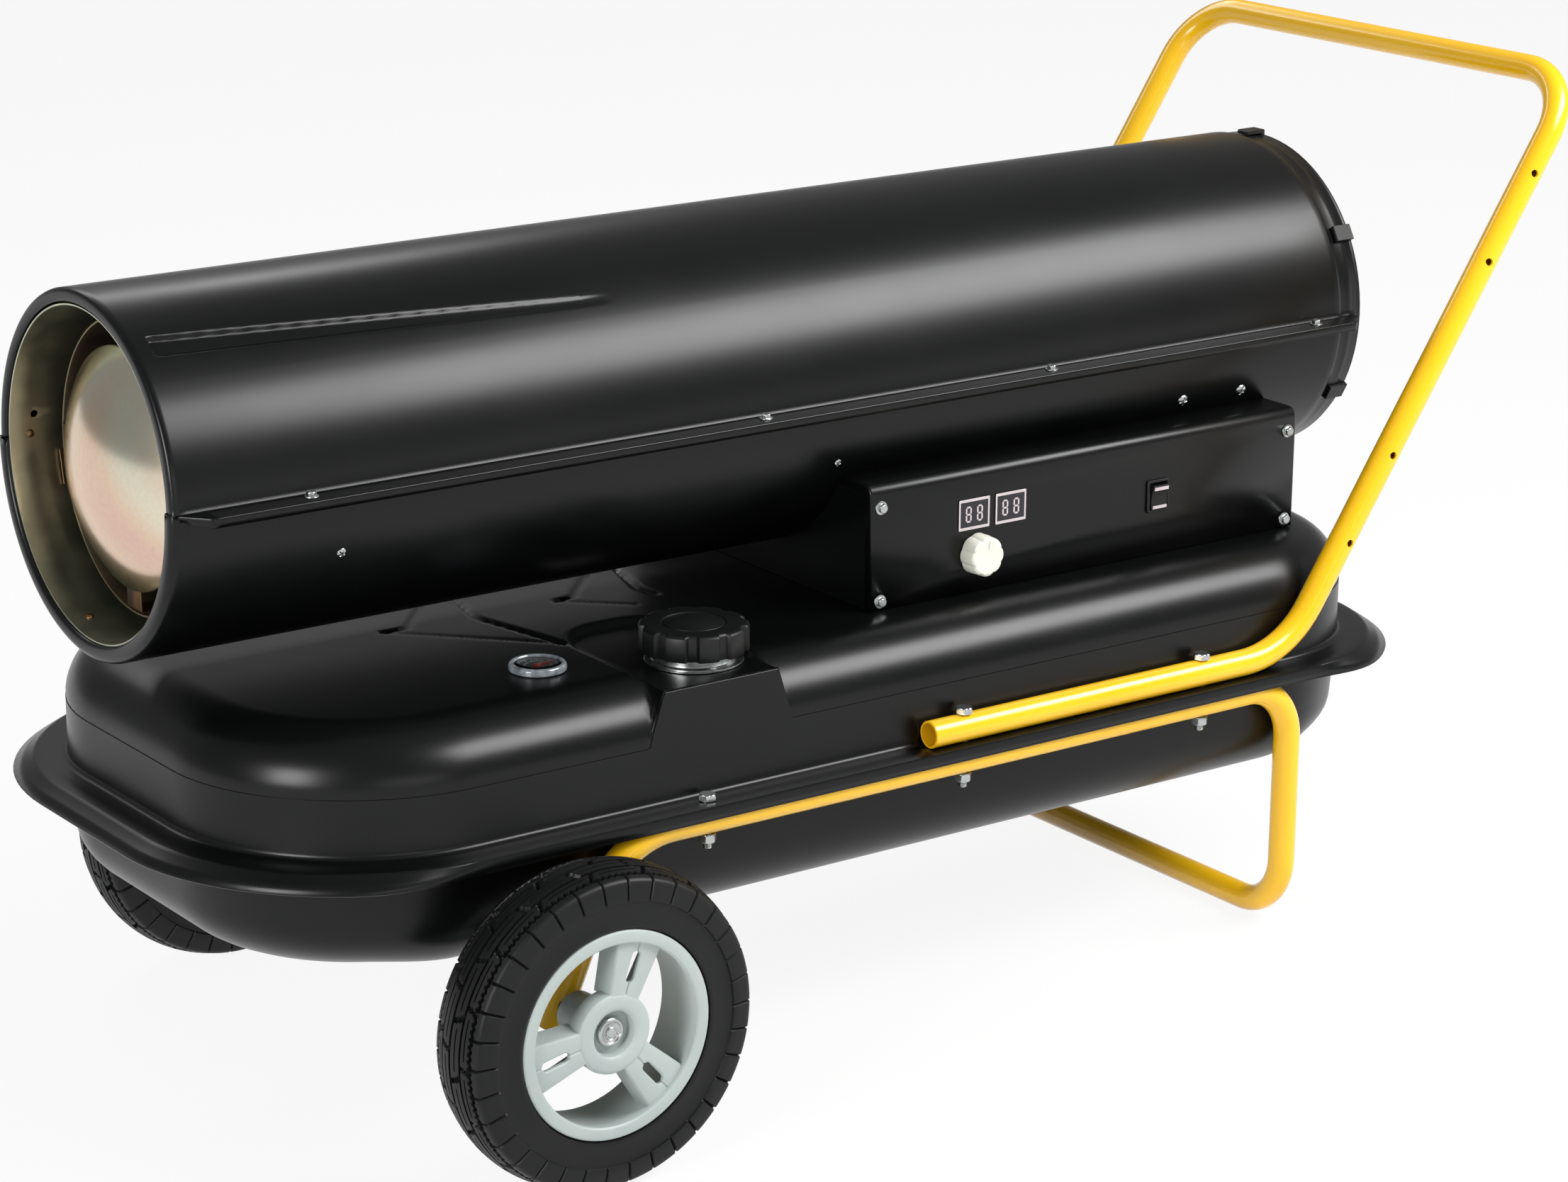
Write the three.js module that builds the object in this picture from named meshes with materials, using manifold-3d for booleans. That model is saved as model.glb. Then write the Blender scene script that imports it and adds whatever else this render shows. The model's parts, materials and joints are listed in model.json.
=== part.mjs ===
// Portable kerosene forced air heater: a barrel with burner and fan on a fuel tank, on a wheeled tube frame.
// Millimetres. The body is drawn level: x runs from the outlet rim to the rear, -y is the panel side, z is up.
// The whole body then tips back about the axle until its rear leg stands on the floor with the wheels.
import * as THREE from 'three';
import { mergeVertices } from 'three/addons/utils/BufferGeometryUtils.js';
import Module from 'manifold-3d';

const wasm = await Module();
wasm.setup();

// Driving dimensions
const sheet = 1.2;            // thickness of the pressed steel
const gap = 0.3;              // clearance between two pieces that rest on each other
const slack = 0.6;            // radial clearance of a rod or screw in its hole

const tyreRadius = 101.6;     // 8 inch tyre, from its size marking
const tyreWidth = 50;
const wheelOffset = 231.5;    // middle of each wheel from the centre plane
const axleX = 206;
const axleZ = 91;
const axleRadius = 6;

const barrelRadius = 111.7;
const barrelLength = 917;
const lipInner = barrelRadius - 8.5;       // inside of the rolled rim at the outlet
const seamWidth = 17;         // side flange of the two shells, out from the barrel
const seamLip = 6;
const seamCorner = 15;        // diagonal corner at each end of the side flange

const linerRadius = barrelRadius - 9.6;
const linerLength = 330;
const chamberRadius = barrelRadius - 21.2;
const chamberFront = 32;
const chamberRear = 372;
const domeRadius = chamberRadius - 17.2;
const domeFront = 27;
const domeRise = 26;

const tankSeamZ = 199;        // top of the flange round the tank
const tankTop = 274;
const airGap = 22.3;          // between the tank's top and the barrel
const barrelZ = tankTop + airGap + barrelRadius;
const tankBottom = 119;
const foldHalfWidth = 205.6;  // flange, out to its fold
const foldFront = 8;
const foldRear = 917;
const tankLip = 9;
const wallInset = 21.2;       // tank wall, in from the fold
const filletTop = 38;
const padTop = 270;

const fuelRadius = 2.5;
const tubeRadius = 9;
const tubeWall = 1.5;
const tubeOffset = 193.9;     // middle of both tubes from the centre plane
const legX = 789.7;
const footZ = 21.4;           // middle of the bar that stands on the floor
const uprightX = 784.4;       // where the upright would meet the handle's lower run
const gripX = 1031.7;
const gripZ = 574.9;
const handleStart = 483;

const caseFront = 480;
const caseRear = 842;
const caseHalfWidth = barrelRadius + 22.3;
const caseTop = barrelZ - 50;
const capX = 340;
const capY = -140;
const capRadius = 34.7;
const gaugeX = 243;
const gaugeY = -113;

const panelY = -caseHalfWidth;
const knobX = 566;
const knobZ = caseTop - 58;
const rockerX = 719;
const rockerZ = caseTop - 43;
const displayZ = caseTop - 31;
const displayXs = { room_display: 563.2, set_display: 593.3 };

// Materials
function paint(color, roughness, metalness = 0) {
  return new THREE.MeshStandardMaterial({ color, roughness, metalness });
}

const looks = {
  black: paint('#15171a', 0.32),
  blackPlastic: paint('#1b1c1d', 0.55),
  yellow: paint('#e8b92a', 0.35),
  rubber: paint('#1d1e20', 0.75),
  rim: paint('#9aa3a3', 0.5),
  zinc: paint('#b9bcbc', 0.35, 0.9),
  galvanised: paint('#8f958c', 0.45, 0.85),
  stainless: paint('#b9b4a4', 0.25, 0.95),
  heatSteel: paint('#6f6558', 0.6, 0.8),
  aluminium: paint('#a9acad', 0.4, 0.9),
  ivory: paint('#e9e6da', 0.45),
  lens: paint('#e7ecec', 0.08),
  board: paint('#2c5a3a', 0.6),
  brass: paint('#b08d4a', 0.35, 0.9),
  display: paint('#2b2a33', 0.2),
  red: paint('#b23a2c', 0.5),
};

const heater = new THREE.Group();
const body = new THREE.Group();
heater.add(body);

function addPiece(parent, name, geometry, look) {
  const mesh = new THREE.Mesh(geometry, look);
  mesh.name = name;
  parent.add(mesh);
  return mesh;
}

// Solids
function solidOf(geometry) {
  const bare = geometry.clone();
  for (const key of Object.keys(bare.attributes)) {
    if (key !== 'position') bare.deleteAttribute(key);
  }
  const merged = mergeVertices(bare, 1e-4);
  const vertProperties = new Float32Array(merged.attributes.position.array);
  const triVerts = new Uint32Array(merged.index.array);
  return new wasm.Manifold(new wasm.Mesh({ numProp: 3, vertProperties, triVerts }));
}

function geometryOf(solid) {
  const mesh = solid.getMesh();
  const geometry = new THREE.BufferGeometry();
  geometry.setAttribute('position', new THREE.BufferAttribute(new Float32Array(mesh.vertProperties), 3));
  geometry.setIndex(new THREE.BufferAttribute(new Uint32Array(mesh.triVerts), 1));
  return geometry;
}

function cut(geometry, tools) {
  return geometryOf(tools.reduce((solid, tool) => solid.subtract(solidOf(tool)), solidOf(geometry)));
}

function fuse(geometries) {
  const [first, ...rest] = geometries.map(solidOf);
  return geometryOf(rest.reduce((sum, solid) => sum.add(solid), first));
}

function common(geometries) {
  const [first, ...rest] = geometries.map(solidOf);
  return geometryOf(rest.reduce((solid, other) => solid.intersect(other), first));
}

function box(from, to) {
  const size = to.map((value, axis) => value - from[axis]);
  const geometry = new THREE.BoxGeometry(...size);
  return geometry.translate(...from.map((value, axis) => value + size[axis] / 2));
}

const turnFromY = {
  x: (geometry) => geometry.rotateZ(-Math.PI / 2),
  y: (geometry) => geometry,
  z: (geometry) => geometry.rotateX(Math.PI / 2),
};

// A straight round rod between two places on one axis.
function rod(axis, radius, from, to, across, sides = 12) {
  const geometry = turnFromY[axis](new THREE.CylinderGeometry(radius, radius, to - from, sides));
  const middle = (from + to) / 2;
  const place = { x: [middle, ...across], y: [across[0], middle, across[1]], z: [...across, middle] };
  return geometry.translate(...place[axis]);
}

// A closed profile of [radius, distance along the axis] pairs turned round that axis.
function turned(axis, profile, sides, at = [0, 0, 0]) {
  const points = profile.map(([radius, along]) => new THREE.Vector2(radius, along));
  const geometry = turnFromY[axis](new THREE.LatheGeometry(points, sides));
  return facingOut(geometry.translate(...at));
}

function ringProfile(inner, outer, from, to) {
  return [[inner, from], [outer, from], [outer, to], [inner, to], [inner, from]];
}

// A closed solid through sections of equal point counts. Each section is an array of [x, y, z].
// An end is capped flat over its outline, or drawn to one point when `poles` gives it.
function loft(sections, flatten, poles = []) {
  const count = sections[0].length;
  const positions = sections.flat(2);
  const index = [];
  for (let row = 0; row < sections.length - 1; row++) {
    for (let i = 0; i < count; i++) {
      const a = row * count + i;
      const b = row * count + (i + 1) % count;
      index.push(a, b, b + count, a, b + count, a + count);
    }
  }
  const capEnd = (section, offset, pole, reversed) => {
    const order = (a, b, c) => (reversed ? index.push(c, b, a) : index.push(a, b, c));
    if (pole) {
      positions.push(...pole);
      const tip = positions.length / 3 - 1;
      for (let i = 0; i < count; i++) order(offset + i, offset + (i + 1) % count, tip);
      return;
    }
    const outline = section.map((point) => new THREE.Vector2(...flatten(point)));
    const clockwise = THREE.ShapeUtils.isClockWise(outline);
    const faces = THREE.ShapeUtils.triangulateShape(outline, []);
    for (const [a, b, c] of faces) {
      const straight = !clockwise;
      if (straight) order(offset + a, offset + b, offset + c);
      else order(offset + c, offset + b, offset + a);
    }
  };
  capEnd(sections[0], 0, poles[0], true);
  capEnd(sections.at(-1), (sections.length - 1) * count, poles[1], false);
  const geometry = new THREE.BufferGeometry();
  geometry.setAttribute('position', new THREE.Float32BufferAttribute(positions, 3));
  geometry.setIndex(index);
  return facingOut(geometry);
}

// Turns every face of a closed solid outwards.
function facingOut(geometry) {
  const flat = geometry.index ? geometry : mergeVertices(geometry, 1e-4);
  const at = flat.attributes.position;
  const index = flat.index.array;
  const corner = (i) => new THREE.Vector3().fromBufferAttribute(at, index[i]);
  let volume = 0;
  for (let i = 0; i < index.length; i += 3) {
    volume += corner(i).dot(corner(i + 1).cross(corner(i + 2)));
  }
  if (volume < 0) {
    for (let i = 0; i < index.length; i += 3) [index[i], index[i + 1]] = [index[i + 1], index[i]];
  }
  return flat;
}

function extruded(points, depth, holes = []) {
  const shape = new THREE.Shape(points.map(([u, v]) => new THREE.Vector2(u, v)));
  for (const hole of holes) shape.holes.push(new THREE.Path(hole.map(([u, v]) => new THREE.Vector2(u, v))));
  return new THREE.ExtrudeGeometry(shape, { depth, bevelEnabled: false });
}

// Outlines drawn in (y, z) and extruded along x, or drawn in (x, y) and extruded along z.
function alongX(points, from, to) {
  const axes = [[0, 1, 0], [0, 0, 1], [1, 0, 0]].map((v) => new THREE.Vector3(...v));
  const basis = new THREE.Matrix4().makeBasis(...axes);
  return extruded(points, to - from).applyMatrix4(basis).translate(from, 0, 0);
}

function alongZ(points, from, to) {
  return extruded(points, to - from).translate(0, 0, from);
}

// A run of tube: straight stretches joined by round bends, given by its corners and bend radii.
class TubeRun extends THREE.Curve {
  constructor(nodes) {
    super();
    this.nodes = nodes;
  }

  getPoint(t, target = new THREE.Vector3()) {
    const place = t * (this.nodes.length - 1);
    const before = Math.min(Math.floor(place + 1e-6), this.nodes.length - 2);
    return target.lerpVectors(this.nodes[before].place, this.nodes[before + 1].place, place - before);
  }

  getPointAt(u, target) {
    return this.getPoint(u, target);
  }

  getTangentAt(u, target = new THREE.Vector3()) {
    return target.copy(this.nodes[Math.round(u * (this.nodes.length - 1))].along);
  }
}

function bentRun(corners, radii, step = Math.PI / 8) {
  const points = corners.map((corner) => new THREE.Vector3(...corner));
  const ways = points.slice(1).map((point, i) => point.clone().sub(points[i]).normalize());
  const nodes = [{ place: points[0], along: ways[0] }];
  for (let i = 1; i < points.length - 1; i++) {
    const [into, out] = [ways[i - 1], ways[i]];
    const angle = into.angleTo(out);
    const radius = radii[i - 1];
    const inward = out.clone().addScaledVector(into, -Math.cos(angle)).normalize();
    const start = points[i].clone().addScaledVector(into, -radius * Math.tan(angle / 2));
    const steps = Math.ceil(angle / step);
    for (let k = 0; k <= steps; k++) {
      const turn = (angle * k) / steps;
      const place = start.clone().addScaledVector(into, radius * Math.sin(turn));
      place.addScaledVector(inward, radius * (1 - Math.cos(turn)));
      const along = into.clone().multiplyScalar(Math.cos(turn)).addScaledVector(inward, Math.sin(turn));
      nodes.push({ place, along });
    }
  }
  nodes.push({ place: points.at(-1), along: ways.at(-1) });
  return new TubeRun(nodes);
}

function circlePoints(radius, sides, phase = 0.5) {
  return Array.from({ length: sides }, (_, k) => {
    const angle = (2 * Math.PI * (k + phase)) / sides;
    return [radius * Math.cos(angle), radius * Math.sin(angle)];
  });
}

function tube(run, outer, sides, inner = 0, innerSides = sides, phase = 0.5) {
  const shape = new THREE.Shape(circlePoints(outer, sides, phase).map(([u, v]) => new THREE.Vector2(u, v)));
  if (inner) {
    shape.holes.push(new THREE.Path(circlePoints(inner, innerSides).map(([u, v]) => new THREE.Vector2(u, v))));
  }
  return new THREE.ExtrudeGeometry(shape, { steps: run.nodes.length - 1, extrudePath: run });
}

const degrees = Math.PI / 180;
const mix = (a, b, t) => a + (b - a) * t;

// Barrel shells. Each section is an open arc of sheet, closed along its outer and inner side.
const shellRear = { step: barrelLength - 18, stepEnd: barrelLength - 15, inset: 1.5 };
const flute = {
  front: 13, full: 16, end: 324, depth: 3,
  lowFront: 50, highFront: 57, lowEnd: 45, highEnd: 47.5, // degrees above the panel side
};

function shellOuter(x) {
  if (x <= 0) return barrelRadius - 1.6;
  if (x < 3) return barrelRadius - 0.4;
  return x >= shellRear.stepEnd ? barrelRadius - shellRear.inset : barrelRadius;
}

function shellInner(x) {
  if (x <= 0) return lipInner + 0.7;
  return x <= 3 ? lipInner : shellOuter(x) - sheet;
}

// Angles over the upper half with the two edges of the pressed flute, and how deep the sheet lies there.
function upperAngles(x) {
  const along = THREE.MathUtils.clamp((x - flute.front) / (flute.end - flute.front), 0, 1);
  const low = mix(flute.lowFront, flute.lowEnd, along);
  const high = mix(flute.highFront, flute.highEnd, along);
  const pressed = x > flute.front && x < flute.end ? flute.depth * (1 - 0.5 * along) : 0;
  const near = [[0, 0], [11, 0], [22, 0], [33, 0], [low, 0], [low + 0.8, pressed], [high - 0.8, pressed]];
  near.push([high, 0], [67, 0], [78, 0]);
  const far = near.map(([angle, depth]) => [180 - angle, depth]).reverse();
  return [...near, [90, 0], ...far];
}

function lowerAngles() {
  return Array.from({ length: 19 }, (_, k) => [180 + 10 * k, 0]);
}

function arcSection(x, angles, drop) {
  const place = (radius) => ([angle, depth]) => {
    const turn = angle * degrees;
    return [x, -(radius - depth) * Math.cos(turn), barrelZ + drop + (radius - depth) * Math.sin(turn)];
  };
  return [...angles.map(place(shellOuter(x))), ...[...angles].reverse().map(place(shellInner(x)))];
}

function shellHalf(stations, anglesAt, drop) {
  const sections = stations.map((x) => arcSection(x, anglesAt(x), drop));
  return loft(sections, ([, y, z]) => [y, z]);
}

// Side flange with its diagonal corners, on the side that `side` gives (-1 near, 1 far).
function seamFlange(side, width, low, high) {
  const inside = barrelRadius - sheet + 0.1;
  const rear = inside - shellRear.inset;
  const outline = [
    [3, inside], [3 + seamCorner, barrelRadius + width], [barrelLength - seamCorner, barrelRadius + width],
    [barrelLength, rear + 1], [barrelLength, rear], [shellRear.stepEnd, rear], [shellRear.step, inside],
  ];
  return alongZ(outline.map(([x, y]) => [x, side * y]), barrelZ + low, barrelZ + high);
}

function upperShell() {
  const { step, stepEnd } = shellRear;
  const stations = [0, 1.2, 3, 3.2, flute.front, flute.full, flute.end, step, stepEnd, barrelLength];
  const pieces = [shellHalf(stations, upperAngles, 0)];
  const edge = barrelRadius + seamWidth;
  for (const side of [-1, 1]) {
    pieces.push(seamFlange(side, seamWidth, 0, sheet));
    const across = [side * edge, side * (edge - sheet)].sort((a, b) => a - b);
    const ends = [3 + seamCorner, barrelLength - seamCorner];
    pieces.push(box([ends[0], across[0], barrelZ - seamLip], [ends[1], across[1], barrelZ + sheet]));
  }
  return fuse(pieces);
}

const fuelEntry = { x: caseFront + 25, y: 40 };

function lowerShell() {
  const stations = [0, 1.2, 3, 3.2, shellRear.step, shellRear.stepEnd, barrelLength];
  const pieces = [shellHalf(stations, lowerAngles, -gap)];
  for (const side of [-1, 1]) pieces.push(seamFlange(side, seamWidth - sheet - gap, -gap - sheet, -gap));
  const hole = rod('z', fuelRadius + 1.2, barrelZ - barrelRadius - 5, barrelZ - 80, [fuelEntry.x, fuelEntry.y]);
  return cut(fuse(pieces), [hole]);
}

// Burner and hot parts
function onBarrel(geometry, angle) {
  return geometry.rotateX((angle - 90) * degrees).translate(0, 0, barrelZ);
}

function liner() {
  return turned('x', ringProfile(linerRadius - 1, linerRadius, 1.5, linerLength), 40, [0, 0, barrelZ]);
}

function chamber() {
  const wall = 1.2;
  const profile = [
    [chamberRadius - wall, chamberFront], [chamberRadius, chamberFront - 0.6],
    [chamberRadius + 0.6, chamberFront + 1],
    [chamberRadius, chamberFront + 3], [chamberRadius, chamberRear], [chamberRadius - wall, chamberRear],
    [chamberRadius - wall, chamberFront],
  ];
  return turned('x', profile, 36, [0, 0, barrelZ]);
}

// Z-shaped strip between the chamber and the liner, drawn at the top and turned to its angle.
function chamberBracket(x, angle) {
  const half = 11;
  const low = chamberRadius + 0.6 + gap;
  const high = Math.sqrt((linerRadius - 1) ** 2 - half ** 2) - 2 * gap;
  const pieces = [
    box([x, -half, low], [x + 12, half, low + sheet]),
    box([x, -half, low], [x + sheet, half, high]),
    box([x - 11, -half, high - sheet], [x + sheet, half, high]),
  ];
  return onBarrel(fuse(pieces), angle);
}

function flameDome() {
  const sphere = (domeRadius ** 2 + domeRise ** 2) / (2 * domeRise);
  const centre = domeFront - domeRise + sphere;
  const edge = Math.asin(domeRadius / sphere);
  const arc = (radius, steps) => Array.from({ length: steps + 1 }, (_, k) => {
    const turn = (edge * k) / steps;
    return [radius * Math.sin(turn), centre - radius * Math.cos(turn)];
  });
  const hem = [[domeRadius + 1, domeFront + 1.3], [domeRadius + 0.3, domeFront + 2.6]];
  const profile = [...arc(sphere, 6), ...hem, ...arc(sphere - 1.2, 4).reverse()];
  return turned('x', profile, 28, [0, 0, barrelZ]);
}

function domeStrap(angle) {
  const half = 9;
  const front = domeFront + 2.6 + gap;
  const top = Math.sqrt((chamberRadius - sheet) ** 2 - half ** 2) - 2 * gap;
  const pieces = [
    box([front, -half, domeRadius - 8], [front + sheet, half, top]),
    box([front, -half, top - sheet], [front + 24, half, top]),
  ];
  return onBarrel(fuse(pieces), angle);
}

const headX = chamberRear - 4;

function burnerHead() {
  const radius = chamberRadius - sheet - 3 * gap;
  const profile = [
    [7, headX], [38.8, headX], [38.8, headX - 30], [40, headX - 30], [40, headX], [radius, headX],
    [radius, headX + sheet], [7, headX + sheet], [7, headX],
  ];
  const slots = Array.from({ length: 8 }, (_, k) => {
    const slot = box([headX - 2, -2.5, chamberRadius - 44.5], [headX + 4, 2.5, chamberRadius - 10.5]);
    return slot.rotateX((2 * Math.PI * k) / 8).translate(0, 0, barrelZ);
  });
  const holes = [-1, 1].map((side) => rod('x', 4.3, headX - 2, headX + 4, [8 * side, barrelZ + 24], 8));
  return cut(turned('x', profile, 24, [0, 0, barrelZ]), [...slots, ...holes]);
}

const nozzleRear = headX + 26;

function nozzle() {
  const start = headX + sheet + gap;
  const profile = [
    [0, headX - 14], [3, headX - 14], [5, headX - 10], [5, start], [16, start], [16, start + 3],
    [8, start + 3], [8, nozzleRear], [0, nozzleRear],
  ];
  return turned('x', profile, 16, [0, 0, barrelZ]);
}

function electrodes() {
  const start = headX + sheet + gap;
  const pieces = [box([start, -13, barrelZ + 19], [start + 12, 13, barrelZ + 29])];
  for (const side of [-1, 1]) {
    pieces.push(rod('x', 3.5, headX - 28, start + 6, [8 * side, barrelZ + 24], 8));
    pieces.push(rod('x', 1.2, headX - 44, headX - 27, [8 * side, barrelZ + 24], 6));
  }
  return fuse(pieces);
}

// Motor, pump and fan, in the rear half of the barrel
const motorLength = 80;
const motorRear = barrelLength - 85;
const motorFront = motorRear - motorLength;
const motorRadius = 45.6;
const motorPlateZ = -motorRadius - 2 * gap;
const shaftRadius = 5;
const fanX = motorFront - 24;
const fanRadius = barrelRadius - 16.7;

function motor() {
  const profile = [
    [0, motorFront], [13, motorFront], [16, motorFront + 4], [40, motorFront + 6],
    [motorRadius, motorFront + 11],
    [motorRadius, motorRear - 8], [40, motorRear], [0, motorRear],
  ];
  const bore = rod('x', shaftRadius + slack, motorFront - 2, motorFront + 16, [0, barrelZ]);
  return cut(turned('x', profile, 24, [0, 0, barrelZ]), [bore]);
}

function motorBracket() {
  const inside = barrelRadius - sheet - 3 * gap;
  const onWall = (angle) => [inside * Math.cos(angle * degrees), -inside * Math.sin(angle * degrees) - gap];
  const [low, high] = [onWall(25), onWall(18)];
  const right = [
    [barrelRadius - 14.7, motorPlateZ - 1.8], low, high, [high[0] - 1.9, high[1]], [low[0] - 2.6, motorPlateZ],
  ];
  const left = right.map(([y, z]) => [-y, z]).reverse();
  return alongX([...right, ...left], motorFront, motorRear - 2).translate(0, 0, barrelZ);
}

function airPump() {
  const start = motorRear + gap;
  const end = start + 29;
  const profile = [[0, start], [34, start], [36, start + 3], [36, end - 5], [31, end], [0, end]];
  const cover = rod('x', 20, start + 28, start + 38, [0, barrelZ], 16);
  return fuse([turned('x', profile, 24, [0, 0, barrelZ]), cover]);
}

function motorShaft() {
  return rod('x', shaftRadius, fanX - 16, motorFront + 14, [0, barrelZ]);
}

// One pressed blade: a cambered sheet standing up from the hub, trimmed to its outline and to the tip circle.
function fanBlade(turn) {
  const camber = [[-12, -20], [-2, -8], [5, 6], [8, 22]];
  const shifted = (by) => camber.map(([x, y]) => [x + by, y]);
  const section = [...shifted(-0.8), ...shifted(0.8).reverse()];
  const outline = [[-9, 12], [9, 12], [23, 66], [21, 100], [-19, 100], [-19.5, 56]];
  const tip = rod('x', fanRadius, -30, 30, [0, 0], 30);
  return common([alongZ(section, 10, 101), alongX(outline, -30, 30), tip]).translate(fanX, 0, 0).rotateX(turn);
}

function fan() {
  const blades = Array.from({ length: 5 }, (_, k) => fanBlade((2 * Math.PI * k) / 5));
  const hub = rod('x', 20, fanX - 14, fanX + 12, [0, 0], 16);
  const bore = rod('x', shaftRadius + gap, fanX - 20, fanX + 20, [0, 0]);
  return cut(fuse([hub, ...blades]), [bore]).translate(0, 0, barrelZ);
}

// Intake guard: rings and spokes, with hooks that clip over the rear edge of the barrel.
function rearGuard() {
  const start = barrelLength + gap;
  const depth = 3;
  const rings = [[8, 17, 12], [34, 37, 12], [54, 57, 18], [74, 77, 24], [102, 110, 30]];
  const ring = ([inner, outer, sides]) => turned('x', ringProfile(inner, outer, start, start + depth), sides);
  const pieces = rings.map(ring);
  for (let k = 0; k < 6; k++) {
    const angle = (60 * k + 30) * degrees;
    pieces.push(box([start + 0.4, -2, 12], [start + depth - 0.4, 2, 106]).rotateX(angle));
    const hookInside = barrelRadius - shellRear.inset + 0.5;
    const hook = fuse([
      box([start, -5.5, 105], [start + depth, 5.5, hookInside + 2.8]),
      box([start - 13, -5.5, hookInside], [start + depth, 5.5, hookInside + 2.8]),
    ]);
    pieces.push(hook.rotateX((60 * k) * degrees));
  }
  return fuse(pieces).translate(0, 0, barrelZ);
}

// Control case: a floor with two end walls under the barrel, closed by a cover on each side.
const coverRound = 7.5;

// One half of a cover's section in (y, z), `thick` deep: side face, rounded edge, strip back to the barrel.
function coverOutline(side, thick, low) {
  const stripEnd = Math.sqrt((barrelRadius + 2 * gap) ** 2 - (barrelZ - caseTop) ** 2) + gap;
  const middle = [caseHalfWidth - coverRound, caseTop - coverRound];
  const bend = (radius) => [0, 30, 60, 90].map((angle) => {
    const turn = angle * degrees;
    return [middle[0] + radius * Math.cos(turn), middle[1] + radius * Math.sin(turn)];
  });
  const outer = [[caseHalfWidth, low], ...bend(coverRound), [stripEnd, caseTop]];
  const inner = [
    [stripEnd, caseTop - thick], ...bend(coverRound - thick).reverse(), [caseHalfWidth - thick, low],
  ];
  return [...outer, ...inner].map(([y, z]) => [side * y, z]);
}

function sideCover(side) {
  const low = tankTop + 2 * gap;
  const rim = 6;
  return fuse([
    alongX(coverOutline(side, sheet, low), caseFront, caseRear),
    alongX(coverOutline(side, rim, low), caseFront, caseFront + sheet),
    alongX(coverOutline(side, rim, low), caseRear - sheet, caseRear),
  ]);
}

function panelCover() {
  const front = panelY - 2;
  const back = panelY + 4;
  const openings = Object.values(displayXs).map((x) => box(
    [x - displaySize[0] / 2 - gap, front, displayZ - displaySize[1] / 2 - gap],
    [x + displaySize[0] / 2 + gap, back, displayZ + displaySize[1] / 2 + gap],
  ));
  const half = [bezelSize[0] / 2 - 1 + gap, bezelSize[1] / 2 - 1 + gap];
  const [lowZ, highZ] = [rockerZ - half[1], rockerZ + half[1]];
  openings.push(box([rockerX - half[0], front, lowZ], [rockerX + half[0], back, highZ]));
  openings.push(rod('y', knobShaft + 1.2, front, back, [knobX, knobZ]));
  return cut(sideCover(-1), openings);
}

function controlCase() {
  const edge = caseHalfWidth - sheet - gap;
  const top = caseTop - sheet - gap;
  const low = tankTop + gap;
  const [front, rear] = [caseFront + sheet + gap, caseRear - sheet - gap];
  const right = [[edge, low], [edge, top - 7], [edge - 2, top - 2.4], [edge - 7, top]];
  const wall = [...right, ...right.map(([y, z]) => [-y, z]).reverse()];
  const pieces = [
    alongX(wall, front, front + sheet),
    alongX(wall, rear - sheet, rear),
    box([front, -edge, low], [rear, edge, low + sheet]),
  ];
  const barrel = rod('x', barrelRadius + 0.8, front - 5, rear + 5, [0, barrelZ - gap], 48);
  const glandHole = rod('x', glandRadius + slack, rear - 4, rear + 4, [glandY, glandZ]);
  const pipeHole = rod('z', fuelRadius + 1.2, low - 3, low + 5, [pickupX, fuelEntry.y]);
  return cut(fuse(pieces), [barrel, glandHole, pipeHole]);
}

function transformer() {
  const floor = tankTop + 2 * gap + sheet;
  const [rear, back] = [caseRear - 112, panelY + 34];
  return box([rear - 70, back, floor], [rear, back + 40, floor + 28]);
}

const glandY = 90;
const glandZ = 303;
const glandRadius = 6.5;

function cordGland() {
  const outside = caseRear - sheet - gap + gap;
  const inside = caseRear - 2 * sheet - 2 * gap;
  const pieces = [
    rod('x', glandRadius, inside - 6, outside + 9, [glandY, glandZ]),
    rod('x', 10, inside - 5, inside, [glandY, glandZ], 6),
    rod('x', 10, outside, outside + 5, [glandY, glandZ], 6),
  ];
  return cut(fuse(pieces), [rod('x', 4, inside - 8, outside + 12, [glandY, glandZ])]);
}

// Panel pieces
const displaySize = [25, 20.5];
const boardFront = panelY + 12.3;
const bezelSize = [19, 22];
const knobShaft = 3;

function display(x) {
  const [width, height] = displaySize;
  const [left, low] = [x - width / 2, displayZ - height / 2];
  return box([left, panelY - 0.8, low], [left + width, boardFront - gap, low + height]);
}

function controlBoard() {
  const { room_display: first, set_display: second } = displayXs;
  return box([first - 18, boardFront, tankTop + 10], [second + 47, boardFront + 1.6, displayZ + 17]);
}

function thermostatPot() {
  const body = rod('y', 8, panelY + sheet + gap, boardFront - gap, [knobX, knobZ], 16);
  return cut(body, [rod('y', knobShaft + slack, panelY, panelY + 9.6, [knobX, knobZ])]);
}

// Knob drawn about its own axis: a soft eight-lobed grip on a short shaft.
function thermostatKnob() {
  const grip = Array.from({ length: 48 }, (_, k) => {
    const turn = (2 * Math.PI * k) / 48;
    const radius = 13.4 + 0.6 * Math.cos(8 * turn);
    return [radius * Math.cos(turn), radius * Math.sin(turn)];
  });
  const ring = (scale, y) => grip.map(([x, z]) => [x * scale, y, z * scale]);
  const knob = loft([ring(1, -0.6), ring(0.96, -11.4), ring(0.86, -13)], ([x, , z]) => [x, z]);
  const shaft = rod('y', knobShaft, -1, 9, [0, 0]);
  return fuse([knob, shaft]);
}

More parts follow.
